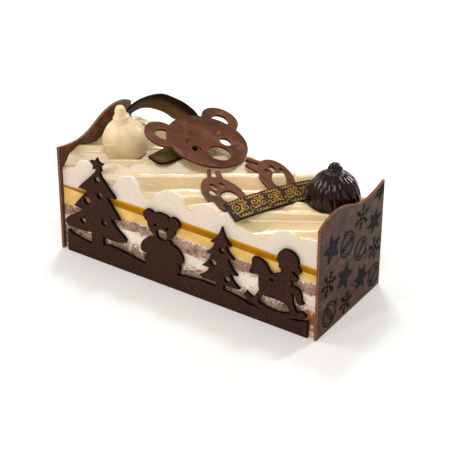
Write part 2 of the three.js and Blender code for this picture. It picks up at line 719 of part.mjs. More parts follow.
// Rings of the ribbon at every fortieth of its length, from one step to another. `faces` gives the
// two offsets that make its thickness, and `grow` widens and lengthens it.
const CURL_STEPS = 40;

function ribbonRings(from, to, faces, grow = 0) {
  const [outer, inner] = [edgeCurve(0), edgeCurve(1)];
  const rings = [];
  for (let step = from; step <= to; step++) {
    const t = step / CURL_STEPS;
    const [a, b, along] = [outer.getPoint(t), inner.getPoint(t), outer.getTangent(t)];
    const across = b.clone().sub(a).normalize();
    const ahead = along.clone().multiplyScalar(step === from ? -grow : step === to ? grow : 0);
    const [low, high] = faces(across, along);
    a.addScaledVector(across, -grow).add(ahead);
    b.addScaledVector(across, grow).add(ahead);
    rings.push([a.clone().add(low), b.clone().add(low), b.clone().add(high), a.clone().add(high)]);
  }
  return rings;
}

// The two faces of a ribbon, half its thickness either side of its middle.
function ribbonFaces(thickness) {
  return (across, along) => {
    const normal = across.clone().cross(along).normalize().multiplyScalar(thickness / 2);
    return [normal.clone().negate(), normal];
  };
}

function addCurl() {
  const rings = ribbonRings(0, CURL_STEPS, ribbonFaces(RIBBON_THICKNESS));
  addMesh('chocolate_curl', loft(rings), COLOURS.olive, 0.3);
}

// Room for the ends of the curl where they press into the mousse, open straight up.
function curlPockets() {
  const sink = new THREE.Vector3(0, 0, -RIBBON_THICKNESS / 2 - GAP);
  const rise = new THREE.Vector3(0, 0, 30);
  const fat = ribbonFaces(RIBBON_THICKNESS + 2 * GAP);
  return [[0, 18], [36, CURL_STEPS]].flatMap(([from, to]) => [
    toSolid(loft(ribbonRings(from, to, () => [sink, rise], GAP))),
    toSolid(loft(ribbonRings(from, to, fat, GAP))),
  ]);
}

// ---------------------------------------------------------------- the whole part

addLayers();
addMousse([...pawPockets(), barPocket(), ...baublePockets(), ...curlPockets()]);
addPlaque('plaque_left', -1);
addPlaque('plaque_right', 1);
addFences();
addHead();
addPaws();
addBar();
addBaubles();
addCurl();

cake.updateMatrixWorld(true);
const reach = new THREE.Box3().setFromObject(cake, true);
const middle = reach.getCenter(new THREE.Vector3());
cake.position.set(-middle.x, -middle.y, -reach.min.z);

export default cake;
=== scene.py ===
import math
import random
from bisect import bisect_right

import bmesh
import bpy
from mathutils import Matrix, Vector, noise
from mathutils.bvhtree import BVHTree


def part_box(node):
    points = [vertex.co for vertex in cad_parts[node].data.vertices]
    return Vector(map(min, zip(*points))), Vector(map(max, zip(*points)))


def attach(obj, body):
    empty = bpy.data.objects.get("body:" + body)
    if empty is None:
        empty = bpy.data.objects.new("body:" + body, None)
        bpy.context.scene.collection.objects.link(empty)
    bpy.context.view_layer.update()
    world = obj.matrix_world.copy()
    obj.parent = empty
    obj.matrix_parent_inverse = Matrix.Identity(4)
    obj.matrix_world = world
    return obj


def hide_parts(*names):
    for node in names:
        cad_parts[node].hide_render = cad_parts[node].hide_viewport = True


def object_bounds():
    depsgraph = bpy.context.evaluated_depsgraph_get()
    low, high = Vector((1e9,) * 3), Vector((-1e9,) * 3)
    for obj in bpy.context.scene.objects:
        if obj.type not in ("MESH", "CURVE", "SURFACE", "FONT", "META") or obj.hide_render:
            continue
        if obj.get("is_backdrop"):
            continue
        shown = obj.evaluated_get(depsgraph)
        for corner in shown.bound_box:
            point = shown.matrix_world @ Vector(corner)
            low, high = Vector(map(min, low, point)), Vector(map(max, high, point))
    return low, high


bl_info = {
    "name": "Yule log cake",
    "version": (1, 0, 0),
    "blender": (4, 5, 0),
    "location": "View3D > Sidebar > Yule log",
    "description": "Dresses a layered yule log cake with its glaze, crumb and chocolate decorations",
    "category": "Object",
}

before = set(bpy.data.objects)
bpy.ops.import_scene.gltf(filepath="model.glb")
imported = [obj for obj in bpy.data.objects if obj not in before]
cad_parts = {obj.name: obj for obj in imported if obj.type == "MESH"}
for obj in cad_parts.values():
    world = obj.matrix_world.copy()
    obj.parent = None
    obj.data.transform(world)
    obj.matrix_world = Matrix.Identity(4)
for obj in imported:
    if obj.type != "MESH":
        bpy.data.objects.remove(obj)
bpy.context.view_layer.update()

MM = 0.001
FULL_TURN = 2 * math.pi
CAKE_Y = (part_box("plaque_left")[0][1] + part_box("plaque_left")[1][1]) / 2


def at(x, y, z):
    """A place on the cake in millimetres from the middle of its base, in metres."""
    return Vector((x * MM, y * MM + CAKE_Y, z * MM))


def srgb(code):
    """The linear colour of a hexadecimal screen colour."""
    channels = [int(code[i:i + 2], 16) / 255 for i in (1, 3, 5)]
    return tuple(c / 12.92 if c <= 0.04045 else ((c + 0.055) / 1.055) ** 2.4 for c in channels)


def darker(tone, share):
    """A colour at a share of its strength."""
    return tuple(channel * share for channel in tone)


# ---------------------------------------------------------------- properties


def colour(name, code, description):
    return bpy.props.FloatVectorProperty(
        name=name, description=description, subtype="COLOR", size=3, min=0, max=1, default=srgb(code))


def length(name, millimetres, description):
    return bpy.props.FloatProperty(
        name=name, description=description, subtype="DISTANCE", unit="LENGTH",
        default=millimetres * MM, min=0, precision=5)


class YuleLogColours(bpy.types.PropertyGroup):
    """Colours of the cake's finishes."""

    glaze: colour("Glaze", "#edd8ae", "Vanilla glaze on the crests of the mousse")
    glaze_deep: colour("Deep glaze", "#e6cc9b", "Vanilla glaze where it lies thick in the furrows")
    mousse: colour("Mousse", "#ebdbc8", "Cut face of the mousse")
    gel: colour("Fruit gel", "#a96a00", "Set fruit gel")
    yellow: colour("Yellow cream", "#efc46c", "Cream under the gel")
    sponge: colour("Nut sponge", "#c0a089", "Crumb of the nut sponge")
    # The nut colour also darkens the torn holes of the sponge as painted shade
    nuts: colour("Nuts", "#84452b", "Ground nuts and baked skin in the sponge")
    cream: colour("White cream", "#fdeed9", "Cream under the sponge")
    crumble: colour("Crumble", "#b67e52", "Baked crumble at the foot of the base")
    milk: colour("Milk chocolate", "#6a3f2b", "Faces of the head and the paws")
    # Painted highlight for the rounded edges of the milk chocolate
    milk_rim_highlight: colour("Milk chocolate rim", "#b27a64", "Edges of the milk chocolate")
    plaque: colour("Plaque", "#4c2e21", "Faces of the end plaques")
    dark: colour("Dark chocolate", "#39221a", "Faces of the fences")
    # Painted shade: the cut walls of the fences are painted nearly black
    dark_rim_shade: colour("Dark chocolate rim", "#170b08", "Cut edges of the fences")
    ivory: colour("White chocolate", "#ead2a7", "White bauble")
    gloss: colour("Glossy chocolate", "#220e09", "Dark bauble")
    curl: colour("Curl", "#21130f", "Outer face of the curl")
    curl_inner: colour("Curl inside", "#5e4a2a", "Inner face of the curl")
    bar: colour("Bar", "#2b1d1b", "Face of the printed bar")
    gold: colour("Gold print", "#b4860a", "Ornament on the bar")
    print: colour("Plaque print", "#07080a", "Ornament on the end plaque")
    floor: colour("Floor", "#fbfaf8", "Floor of the stage")


class YuleLogSizes(bpy.types.PropertyGroup):
    """Sizes of the details that the solids leave out."""

    plate_edge: length("Plate edge", 0.35, "Rounding of the edges of the chocolate plates")
    crumb: length("Crumb relief", 0.35, "Depth of the crumb on the cut faces")
    glaze_lip: length("Glaze lip", 0.8, "Rounding where the glaze meets the cut face")
    rib_depth: length("Rib depth", 1.5, "Depth of the grooves of the dark bauble")
    print_lift: length("Print lift", 0.03, "Height of the printed ornaments over their plate")
    curl_edge: length("Curl edge", 0.3, "Rounding of the edges of the curl")
    ribs: bpy.props.IntProperty(
        name="Ribs", description="Ribs round the dark bauble", default=17, min=6, max=40)


def colours():
    return bpy.context.scene.yule_log_colours


def sizes():
    return bpy.context.scene.yule_log_sizes


# ---------------------------------------------------------------- shader nodes

MIX_FACTOR, MIX_FIRST, MIX_SECOND, MIX_RESULT = 0, 6, 7, 2  # sockets of a Mix node set to colours
WHOLE = (0.0, 1.0)
# The parts of a noise's range over which a colour or a roughness changes.
SOFT, FIRM, PATCHY = (0.3, 0.7), (0.35, 0.7), (0.35, 0.68)


class Nodes:
    """The shader nodes of a material or of a shared effect."""

    def __init__(self, tree):
        self.tree = tree

    def feed(self, socket, value):
        """Links a socket to another one, or sets its value."""
        if isinstance(value, bpy.types.NodeSocket):
            self.tree.links.new(value, socket)
        else:
            socket.default_value = value

    def add(self, kind, inputs=None, **settings):
        """Adds a node. Its inputs are values, or sockets to link from."""
        new = self.tree.nodes.new("ShaderNode" + kind)
        for name, value in settings.items():
            setattr(new, name, value)
        for name, value in (inputs or {}).items():
            self.feed(new.inputs[name], value)
        return new

    def blend(self, factor, first, second):
        """A mix of two colours."""
        mix = self.add("Mix", data_type="RGBA")
        self.feed(mix.inputs[MIX_FACTOR], factor)
        for slot, value in ((MIX_FIRST, first), (MIX_SECOND, second)):
            self.feed(mix.inputs[slot], value if isinstance(value, bpy.types.NodeSocket) else (*value, 1.0))
        return mix.outputs[MIX_RESULT]

    def maths(self, operation, *values):
        """A sum on two or three values."""
        made = self.add("Math", operation=operation)
        for socket, value in zip(made.inputs, values):
            self.feed(socket, value)
        return made.outputs[0]

    def times(self, first, second):
        return self.maths("MULTIPLY", first, second)

    def spread(self, value, span, result=WHOLE, smooth=True):
        """A value carried from one range to another, held at the ends."""
        limits = dict(zip(("From Min", "From Max", "To Min", "To Max"), span + result))
        return self.add("MapRange", {"Value": value, **limits},
                        interpolation_type="SMOOTHSTEP" if smooth else "LINEAR").outputs["Result"]

    def toned(self, value, span, tone, low, high):
        """A tone that runs from one share of its strength to another as a value crosses a range."""
        return self.blend(self.spread(value, span), darker(tone, low), darker(tone, high))

    def lay(self, under, over, mask, share):
        """A colour laid over another where a mask is set, at a share of its strength."""
        return self.blend(self.times(mask, share), under, over)

    def place(self):
        return self.add("TexCoord").outputs["Object"]

    def axes(self):
        return self.add("SeparateXYZ", {"Vector": self.place()}).outputs

    def cloud(self, scale, where=None, **inputs):
        """Soft noise over the object's own places, or over others."""
        where = self.place() if where is None else where
        return self.add("TexNoise", {"Vector": where, "Scale": scale, **inputs}).outputs["Fac"]

    def use(self, name, **inputs):
        """Places a shared effect."""
        return self.add("Group", inputs, node_tree=bpy.data.node_groups[name]).outputs

    def grain(self, fine, broad, stretch):
        return self.use("Grain", Fine=fine, Broad=broad, Stretch=stretch)

    def specks(self, scale, size, share):
        return self.use("Specks", Scale=scale, Size=size, Share=share)

    def mark(self, name):
        """A value kept on the mesh."""
        return self.add("Attribute", attribute_name=name).outputs["Fac"]


class Effect(Nodes):
    """A shared effect: a node group with number inputs and number outputs."""

    def __init__(self, name, outputs, **inputs):
        tree = bpy.data.node_groups.new(name, "ShaderNodeTree")
        super().__init__(tree)
        for label, value in inputs.items():
            socket = tree.interface.new_socket(name=label, in_out="INPUT", socket_type="NodeSocketFloat")
            socket.default_value = value
        for label in outputs:
            tree.interface.new_socket(name=label, in_out="OUTPUT", socket_type="NodeSocketFloat")
        self.given = tree.nodes.new("NodeGroupInput").outputs
        self.result = tree.nodes.new("NodeGroupOutput").inputs

    def give(self, **values):
        for label, value in values.items():
            self.feed(self.result[label], value)


def build_grain():
    """Grain and mottling: a fine height, a broad mottle and a long streak."""
    made = Effect("Grain", ("Height", "Mottle", "Streak"), Fine=1500.0, Broad=60.0, Stretch=1.0)
    given, axes = made.given, made.axes()
    squeezed = made.add("CombineXYZ", {
        "X": made.times(axes["X"], given["Stretch"]), "Y": axes["Y"], "Z": axes["Z"]}).outputs["Vector"]
    made.give(
        Height=made.cloud(given["Fine"], Detail=3.0, Roughness=0.6),
        Mottle=made.cloud(given["Broad"], Detail=4.0, Roughness=0.55, Distortion=0.4),
        Streak=made.cloud(given["Broad"], squeezed, Detail=5.0, Distortion=1.2))


def build_specks():
    """Small separate specks of uneven size: a mask, and a different value for each speck."""
    made = Effect("Specks", ("Mask", "Value"), Scale=500.0, Size=0.2, Share=0.3)
    given = made.given
    cells = made.add("TexVoronoi", {"Vector": made.place(), "Scale": given["Scale"]}).outputs
    tint = made.add("SeparateColor", {"Color": cells["Color"]}).outputs
    kept = made.maths("LESS_THAN", tint["Red"], given["Share"])
    own_size = made.times(given["Size"], made.maths("MULTIPLY_ADD", tint["Green"], 0.8, 0.5))
    inside = made.maths("SUBTRACT", own_size, cells["Distance"])
    dome = made.times(made.maths("MAXIMUM", inside, 0.0), kept)
    made.give(Mask=made.spread(dome, (0.0, 0.06)), Value=tint["Blue"])


def build_smears():
    """Patches that one cut layer leaves on the next: they grow towards an edge of the layer."""
    made = Effect("Smears", ("Mask",), Edge=0.0, Scale=150.0, Limit=0.6)
    given = made.given
    patches = made.cloud(given["Scale"], Detail=6.0, Roughness=0.65, Distortion=0.6)
    raised = made.maths("MULTIPLY_ADD", given["Edge"], 0.3, patches)
    made.give(Mask=made.spread(made.maths("SUBTRACT", raised, given["Limit"]), (0.0, 0.07)))


# ---------------------------------------------------------------- finishes

BLOOM, DUST, COCOA = srgb("#9a7a70"), srgb("#b08a7a"), srgb("#7a5445")
PLAQUE_CUT, HEAD_CUT = srgb("#7a4630"), srgb("#5a3426")
# The glaze's lip colour is near white: partly the mousse through thin glaze, partly a painted highlight
GLAZE_LIP_HIGHLIGHT, VANILLA, PALE_VANILLA = srgb("#f6ebdc"), srgb("#6e5034"), srgb("#a58a72")
# The gel's edge colour is painted light along its upper edge
# The ivory seam colour is a painted highlight on the raised seams and belt
GEL_LIT_EDGE, IVORY_SEAM_HIGHLIGHT = srgb("#dc9a1e"), srgb("#f6e4c4")
# The bar's rim colour, nearly black, is painted shade on its cut walls
BAR_SCRATCH, BAR_RIM_SHADE = srgb("#6a5a5c"), srgb("#120907")
LIGHT_DEPTH = (1.0, 0.6, 0.3)                    # how far red, green and blue light goes into cream
GLAZE_FROM, GLAZE_TO = -110 * MM, 20 * MM        # where the glaze turns paler along the log
CRUST_FROM, CRUST_TO = 106 * MM, 117 * MM        # where the base turns to crust at its right end
WRINKLES = 13.0                                  # height of the glaze's wrinkles beside the cut's grain


class Finish(Nodes):
    """A material with its Principled BSDF, whose fixed values stand on the shader's own sockets."""

    def __init__(self, name, **constants):
        self.material = bpy.data.materials.new(name)
        self.material.use_nodes = True
        super().__init__(self.material.node_tree)
        self.sockets = self.tree.nodes["Principled BSDF"].inputs
        for label, value in constants.items():
            self.sockets[label.replace("_", " ")].default_value = value

    def done(self, base, rough=None, height=None, depth=0.1 * MM, strength=1.0, coat=None):
        """Feeds the shader its colour, roughness, coat and bump, and gives back the material."""
        for label, value in (("Base Color", base), ("Roughness", rough), ("Coat Weight", coat)):
            if value is not None:
                self.feed(self.sockets[label], value)
        if height is not None:
            bump = self.add("Bump", {"Height": height, "Distance": depth, "Strength": strength})
            self.feed(self.sockets["Normal"], bump.outputs["Normal"])
        return self.material


def milk_chocolate(name, tone, specular, rough, patches, wall):
    """Satin milk chocolate with marbling, scratches and bloom, a painted highlight in a lighter, redder brown
    on its rounded edges, cut in the colour `wall`.
    """
    look = Finish(name, Specular_IOR_Level=specular)
    grain = look.grain(fine=1400, broad=55, stretch=0.35)
    fine = look.grain(fine=3000, broad=260, stretch=0.2)
    dust = look.specks(scale=700, size=0.2, share=0.3)
    marbled = look.toned(grain["Streak"], FIRM, tone, 0.7, 1.3)
    scratched = look.blend(look.spread(fine["Streak"], (0.52, 0.72), (0.0, 0.5)), marbled, darker(tone, 2.0))
    bloomed = look.blend(look.spread(grain["Mottle"], (0.54, 0.72), (0.0, patches)), scratched, BLOOM)
    dusted = look.lay(bloomed, DUST, dust["Mask"], 0.18)
    # The rim colour is a painted highlight on the rounded edges, made patchy by noise
    wear_and_sheen = look.spread(fine["Mottle"], (0.2, 0.6), (0.6, 1.0))
    rim_highlighted = look.lay(dusted, colours().milk_rim_highlight, look.mark("rim"), wear_and_sheen)
    base = look.blend(look.mark("wall"), rim_highlighted, look.toned(fine["Mottle"], (0.35, 0.65), wall, 0.75, 1.25))
    height = look.maths("MULTIPLY_ADD", grain["Height"], 0.35, fine["Mottle"])
    satin = look.spread(grain["Mottle"], FIRM, (rough - 0.05, rough + 0.12))
    return look.done(base, satin, height, 0.12 * MM, 0.6)


def dark_chocolate():
    """Matte dark chocolate with a coarse, powdery grain, and painted shade on its cut walls."""
    look, tones = Finish("Dark chocolate", Specular_IOR_Level=0.06), colours()
    grain = look.grain(fine=1500, broad=38, stretch=1.0)
    coarse = look.grain(fine=800, broad=700, stretch=1.0)
    powder = look.specks(scale=950, size=0.4, share=0.4)
    dusted = look.toned(coarse["Mottle"], (0.4, 0.68), tones.dark, 0.66, 1.7)
    wear_and_sheen = look.spread(look.spread(grain["Mottle"], (0.42, 0.66)), WHOLE, (0.1, 0.65))
    flecked = look.lay(dusted, COCOA, powder["Mask"], wear_and_sheen)
    # The cut walls take the rim colour: painted shade, nearly black
    base = look.blend(look.mark("rim"), flecked, tones.dark_rim_shade)
    height = look.maths("ADD", grain["Height"], coarse["Mottle"])
    return look.done(base, look.spread(coarse["Mottle"], SOFT, (0.55, 0.75)), height, 0.16 * MM, 0.8)


def glazed_mousse():
    """Glossy vanilla glaze with dark specks on top, a near-white lip along the cut that is partly the mousse
    showing through thin glaze and partly a painted highlight, and matte white mousse where it is cut.
    """
    look, tones = Finish(
        "Glazed mousse", Specular_IOR_Level=0.4, Coat_Roughness=0.06, Subsurface_Weight=0.5,
        Subsurface_Scale=4 * MM, Subsurface_Radius=LIGHT_DEPTH), colours()
    grain = look.grain(fine=900, broad=40, stretch=0.3)
    fine = look.grain(fine=2600, broad=180, stretch=1.6)
    wrinkle = look.grain(fine=900, broad=170, stretch=0.45)
    specks = look.specks(scale=400, size=0.15, share=0.4)
    tiny = look.specks(scale=900, size=0.22, share=0.34)
    cut = look.mark("cut")
    glossy = look.maths("SUBTRACT", 1.0, cut)
    depth = look.maths("MULTIPLY_ADD", grain["Mottle"], 0.5, look.maths("SUBTRACT", look.mark("pool"), 0.25))
    along = look.spread(look.axes()["X"], (GLAZE_FROM, GLAZE_TO), smooth=False)
    thin = look.blend(along, darker(tones.glaze_deep, 0.8), darker(tones.glaze, 1.08))
    deep = look.blend(along, darker(tones.glaze_deep, 0.74), darker(tones.glaze_deep, 1.08))
    glaze = look.blend(look.spread(depth, WHOLE), thin, deep)
    # Near-white lip where the crests meet the cut: partly the mousse through thin glaze, partly a painted
    # highlight
    lip_highlighted = look.blend(look.mark("lip"), glaze, GLAZE_LIP_HIGHLIGHT)
    seeds = look.maths("MAXIMUM", look.times(specks["Mask"], 0.7), look.times(tiny["Mask"], 0.3))
    pale = look.blend(look.spread(fine["Mottle"], FIRM, (0.0, 0.5)), tones.mousse, darker(tones.mousse, 0.9))
    flecked = look.lay(pale, PALE_VANILLA, tiny["Mask"], 0.3)
    base = look.blend(cut, look.blend(seeds, lip_highlighted, VANILLA), flecked)
    height = look.maths("ADD", look.times(fine["Mottle"], cut),
                        look.times(wrinkle["Mottle"], look.times(glossy, WRINKLES)))
    rough = look.spread(cut, WHOLE, (0.14, 0.6))
    return look.done(base, rough, height, 0.12 * MM, 0.5, look.times(glossy, 0.7))


def smooth_cream(name, tone, rough, crumbs=0.9):
    """Smooth set cream with a faint mottling, small pores painted darker as painted shade, and crumbs dragged
    over its edges.
    """
    look = Finish(name, Specular_IOR_Level=0.2)
    grain = look.grain(fine=1100, broad=75, stretch=0.4)
    pores = look.specks(scale=620, size=0.22, share=0.25)
    smear = look.use("Smears", Edge=look.mark("edge"), Scale=170, Limit=crumbs)
    mottled = look.toned(grain["Mottle"], PATCHY, tone, 0.86, 1.06)
    crumbed = look.lay(mottled, colours().sponge, smear["Mask"], 0.7)
    # Painted shade in the small pores
    base = look.lay(crumbed, darker(tone, 0.6), pores["Mask"], 0.35)
    height = look.maths("SUBTRACT", grain["Height"], pores["Mask"])
    return look.done(base, look.spread(grain["Mottle"], SOFT, (rough, rough + 0.12)), height, 0.1 * MM, 0.5)


def fruit_gel():
    """Clear amber gel, with painted light along its upper edge."""
    look = Finish("Fruit gel", Specular_IOR_Level=0.04, Roughness=0.3)
    grain = look.grain(fine=500, broad=50, stretch=0.25)
    base = look.toned(grain["Mottle"], SOFT, colours().gel, 0.84, 1.15)
    # The upper edge of the gel is painted lighter: painted light
    return look.done(look.blend(look.mark("upper"), base, GEL_LIT_EDGE), None, grain["Mottle"], 0.2 * MM, 0.4)


def nut_sponge(name="Nut sponge", baked=0.0, white=0.68):
    """Porous crumb with nut specks, painted shade in its torn holes, and dragged cream. `baked` is how far
    crumble climbs, in metres.
    """
    look, tones = Finish(name, Specular_IOR_Level=0.1), colours()
    grain = look.grain(fine=1000, broad=130, stretch=0.7)
    small = look.specks(scale=900, size=0.42, share=0.5)
    large = look.specks(scale=420, size=0.34, share=0.42)
    crumb = look.toned(grain["Mottle"], (0.34, 0.66), tones.sponge, 0.5, 1.05)
    if baked:
        axes = look.axes()
        crust = look.maths("MAXIMUM", look.spread(axes["Z"], (baked, 0.25 * baked)),
                           look.spread(axes["X"], (CRUST_FROM, CRUST_TO)))
        toasted = look.blend(large["Value"], darker(tones.crumble, 0.45), darker(tones.crumble, 1.5))
        crumb = look.lay(crumb, toasted, crust, look.spread(grain["Mottle"], (0.3, 0.5), (0.5, 1.0)))
    smear = look.use("Smears", Edge=look.mark("edge"), Scale=150, Limit=white)
    creamed = look.lay(crumb, tones.cream, smear["Mask"], 0.75)
    # Painted shade: the torn holes are painted towards the nut colour
    pit_shaded = look.blend(look.spread(look.mark("pit"), (0.2, 0.9), (0.0, 0.6)), creamed, tones.nuts)
    dotted = look.lay(pit_shaded, darker(tones.nuts, 1.2), small["Mask"], 0.5)
    base = look.lay(dotted, darker(tones.nuts, 0.8), large["Mask"], 0.8)
    height = look.maths("SUBTRACT", look.times(grain["Height"], 1.5), small["Mask"])
    return look.done(base, look.spread(grain["Height"], SOFT, (0.7, 0.9)), height, 0.35 * MM, 0.8)


def white_chocolate():
    """Satin ivory chocolate with vanilla specks, and a pale painted highlight where its seams stand proud."""
    look, tone = Finish(
        "White chocolate", Specular_IOR_Level=0.4, Subsurface_Weight=0.3,
        Subsurface_Scale=3 * MM, Subsurface_Radius=LIGHT_DEPTH), colours().ivory
    grain = look.grain(fine=700, broad=60, stretch=1.0)
    specks = look.specks(scale=480, size=0.16, share=0.3)
    mottled = look.toned(grain["Mottle"], PATCHY, tone, 0.9, 1.05)
    # Painted highlight along the raised seams and belt
    seam_highlighted = look.blend(look.mark("seam"), mottled, IVORY_SEAM_HIGHLIGHT)
    base = look.lay(seam_highlighted, darker(tone, 0.45), specks["Mask"], 0.4)
    height = look.maths("ADD", grain["Mottle"], look.times(grain["Height"], 0.3))
    return look.done(base, look.spread(grain["Mottle"], SOFT, (0.34, 0.46)), height, 0.15 * MM, 0.5)


def glossy_chocolate():
    """Polished dark chocolate, with painted shade in its grooves."""
    look, tone = Finish("Glossy chocolate", Specular_IOR_Level=0.34), colours().gloss
    grain = look.grain(fine=900, broad=70, stretch=1.0)
    # Painted shade: the grooves are painted far darker
    groove_shaded = look.blend(look.mark("groove"), darker(tone, 1.05), darker(tone, 0.2))
    base = look.blend(look.spread(grain["Mottle"], FIRM, (0.0, 0.5)), groove_shaded, darker(tone, 1.6))
    height = look.maths("ADD", grain["Mottle"], look.times(grain["Height"], 0.15))
    return look.done(base, look.spread(grain["Height"], SOFT, (0.1, 0.15)), height, 0.15 * MM, 0.25)


def curl_chocolate():
    """Thin polished chocolate ribbon, olive brown on its inner face and dark towards its edges."""
    look, tones = Finish("Curl chocolate", Specular_IOR_Level=0.06), colours()
    grain = look.grain(fine=900, broad=50, stretch=0.3)
    outer = look.toned(grain["Mottle"], FIRM, tones.curl, 0.8, 1.4)
    inner = look.toned(grain["Streak"], FIRM, tones.curl_inner, 0.75, 1.35)
    rough = look.spread(grain["Mottle"], SOFT, (0.3, 0.45))
    return look.done(look.blend(look.mark("inner"), outer, inner), rough, grain["Mottle"], 0.2 * MM, 0.4)


def printed_bar():
    """Smooth dark chocolate under the bar's print, with fine pale scratches and painted shade on its edges.
    """
    look = Finish("Printed bar", Specular_IOR_Level=0.06)
    grain = look.grain(fine=1600, broad=90, stretch=0.2)
    fine = look.grain(fine=2400, broad=420, stretch=0.12)
    mottled = look.toned(grain["Mottle"], FIRM, colours().bar, 0.7, 1.5)
    base = look.blend(look.spread(fine["Streak"], (0.58, 0.72), (0.0, 0.4)), mottled, BAR_SCRATCH)
    rough = look.spread(grain["Streak"], SOFT, (0.38, 0.52))
    # The rim colour on the bar's edges is painted shade
    return look.done(look.blend(look.mark("rim"), base, BAR_RIM_SHADE), rough, grain["Height"], 0.08 * MM, 0.5)


def print_and_painted_light(name, tone, specular, metal, rough):
    """A printed ornament, a little rubbed; the brows use it for their painted shade and painted highlight."""
    look = Finish(name, Specular_IOR_Level=specular, Metallic=metal)
    wear = look.grain(fine=1800, broad=420, stretch=0.6)
    base = look.toned(wear["Mottle"], (0.38, 0.66), tone, 0.6, 1.15)
    wear_and_sheen = look.spread(wear["Height"], SOFT, (rough, rough + 0.15))
    return look.done(base, wear_and_sheen, wear["Height"], 0.05 * MM, 0.4)


# ---------------------------------------------------------------- meshes

SAME_PLACE = 1e-6  # points nearer to each other than this are joined, in metres


def add_piece(name, mesh, material, slot, *replaced):
    """Puts a mesh in the scene as a piece of the cake."""
    piece = bpy.data.objects.new(name, mesh)
    bpy.context.scene.collection.objects.link(piece)
    mesh.materials.clear()
    mesh.materials.append(material)
    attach(piece, "root")
    if replaced:
        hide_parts(*replaced)


def shade(mesh, degrees):
    """Shades a mesh smooth, but for the edges sharper than an angle."""
    for polygon in mesh.polygons:
        polygon.use_smooth = True
    mesh.set_sharp_from_angle(angle=math.radians(degrees))


def turn_outwards(mesh, weld=True):
    """Turns all faces outwards. Points that lie on each other are joined first."""
    made = bmesh.new()
    made.from_mesh(mesh)
    if weld:
        bmesh.ops.remove_doubles(made, verts=made.verts, dist=SAME_PLACE)
    bmesh.ops.recalc_face_normals(made, faces=made.faces)
    if made.calc_volume(signed=True) < 0:
        bmesh.ops.reverse_faces(made, faces=made.faces)
    made.to_mesh(mesh)
    made.free()


def loft_piece(node_name, rings, marks, sharp, material, slot):
    """A closed body through closed rings of points. A point is its place and one number for each mark."""
    count = len(rings[0])
    points = [point for ring in rings for point in ring]
    faces = []
    for start in range(0, len(points) - count, count):
        for j in range(count):
            a, b = start + j, start + (j + 1) % count
            faces.append((a, b, b + count, a + count))
    faces.append(tuple(reversed(range(count))))
    faces.append(tuple(range(len(points) - count, len(points))))
    mesh = bpy.data.meshes.new(node_name)
    mesh.from_pydata([tuple(point[0]) for point in points], [], faces)
    for k, label in enumerate(marks, 1):
        mesh.attributes.new(label, "FLOAT", "POINT").data.foreach_set("value", [point[k] for point in points])
    turn_outwards(mesh)
    shade(mesh, sharp)
    add_piece(f"{node_name}_piece", mesh, material, slot, node_name)


def clamp(value):
    return max(0.0, min(1.0, value))


def smoothstep(value, low, high):
    t = clamp((value - low) / (high - low))
    return t * t * (3 - 2 * t)


def bell(value, width, power=2):
    """1 at zero, falling to nothing on both sides."""
    return math.exp(-((value / width) ** power))


def hermite(t, start, end, leaving, arriving):
    """A smooth step from start to end with the given slopes at its ends."""
    rise = (2 * t ** 3 - 3 * t ** 2 + 1) * start + (3 * t ** 2 - 2 * t ** 3) * end
    return rise + (t ** 3 - 2 * t ** 2 + t) * leaving + (t ** 3 - t ** 2) * arriving


def smooth_curve(points):
    """A smooth curve through [position, value] pairs."""
    xs, ys = zip(*points)
    last = len(xs) - 1
    slopes = []
    for i in range(len(xs)):
        low, high = max(0, i - 1), min(last, i + 1)
        slopes.append((ys[high] - ys[low]) / (xs[high] - xs[low]))

    def value(x):
        if x <= xs[0]:
            return ys[0]
        if x >= xs[-1]:
            return ys[-1]
        low = bisect_right(xs, x) - 1
        width = xs[low + 1] - xs[low]
        t = (x - xs[low]) / width
        return hermite(t, ys[low], ys[low + 1], width * slopes[low], width * slopes[low + 1])

    return value


def noise_at(x, y, z, scale):
    """Smooth noise between about -1 and 1 at a place, with features `scale` wide, in millimetres."""
    return noise.noise(Vector((x, y, z)) / scale)


# ---------------------------------------------------------------- plates of chocolate

TOWARDS, FLAT = 0.3, 0.995   # how much a face looks a given way to count as roughly or as wholly that way
SMALLEST_STEP, SMALLEST_BEND = 0.15 * MM, 0.004 * MM
CORNER, STRAIGHT = math.radians(38), math.radians(2)
OUTLINE_STEP = 0.8 * MM
HOLE_POINTS, HOLE_ROUND = 12, 45 * MM   # the points and the way round of the largest smooth hole
PLATE_SHARP = 50             # in degrees
# The bar: a corner of its printed face in millimetres, the way along it and the way up its width.
BAR_CORNER = (34.9, -43.9, 91)
BAR_ACROSS = (0.4767, 0.879, 0.0126)
BAR_UP = (-0.8496, 0.459, 0.2588)
BAR_LENGTH = 79.3 * MM
BAR_BOW = 2.9 * MM
BAR_EDGE = 0.25 * MM
BAR_STRIPS = 28
UP = Vector((0, 0, 1))


def main_normal(mesh, towards):
    """The direction of the largest flat face that looks roughly `towards` a direction."""
    areas = {}
    for polygon in mesh.polygons:
        if polygon.normal.dot(towards) > TOWARDS:
            total = areas.setdefault(tuple(round(c, 1) for c in polygon.normal), [0.0, Vector()])
            total[0] += polygon.area
            total[1] += polygon.normal * polygon.area
    return max(areas.values(), key=lambda total: total[0])[1].normalized()


def outline_loops(mesh, normal):
    """The closed outlines of the flat face that looks along `normal`."""
    sides = set()
    for polygon in mesh.polygons:
        if polygon.normal.dot(normal) > FLAT:
            corners = [tuple(round(c, 6) for c in mesh.vertices[i].co) for i in polygon.vertices]
            sides.update(zip(corners, corners[1:] + corners[:1]))
    following = {}
    for a, b in sorted(sides):
        if a != b and (b, a) not in sides:
            following.setdefault(a, []).append(b)
    loops = []
    while following:
        start = current = next(iter(following))
        loop = []
        while not loop or current != start:
            loop.append(Vector(current))
            ahead = following[current]
            chosen = ahead.pop()
            if not ahead:
                del following[current]
            current = chosen
        loops.append(loop)
    return loops


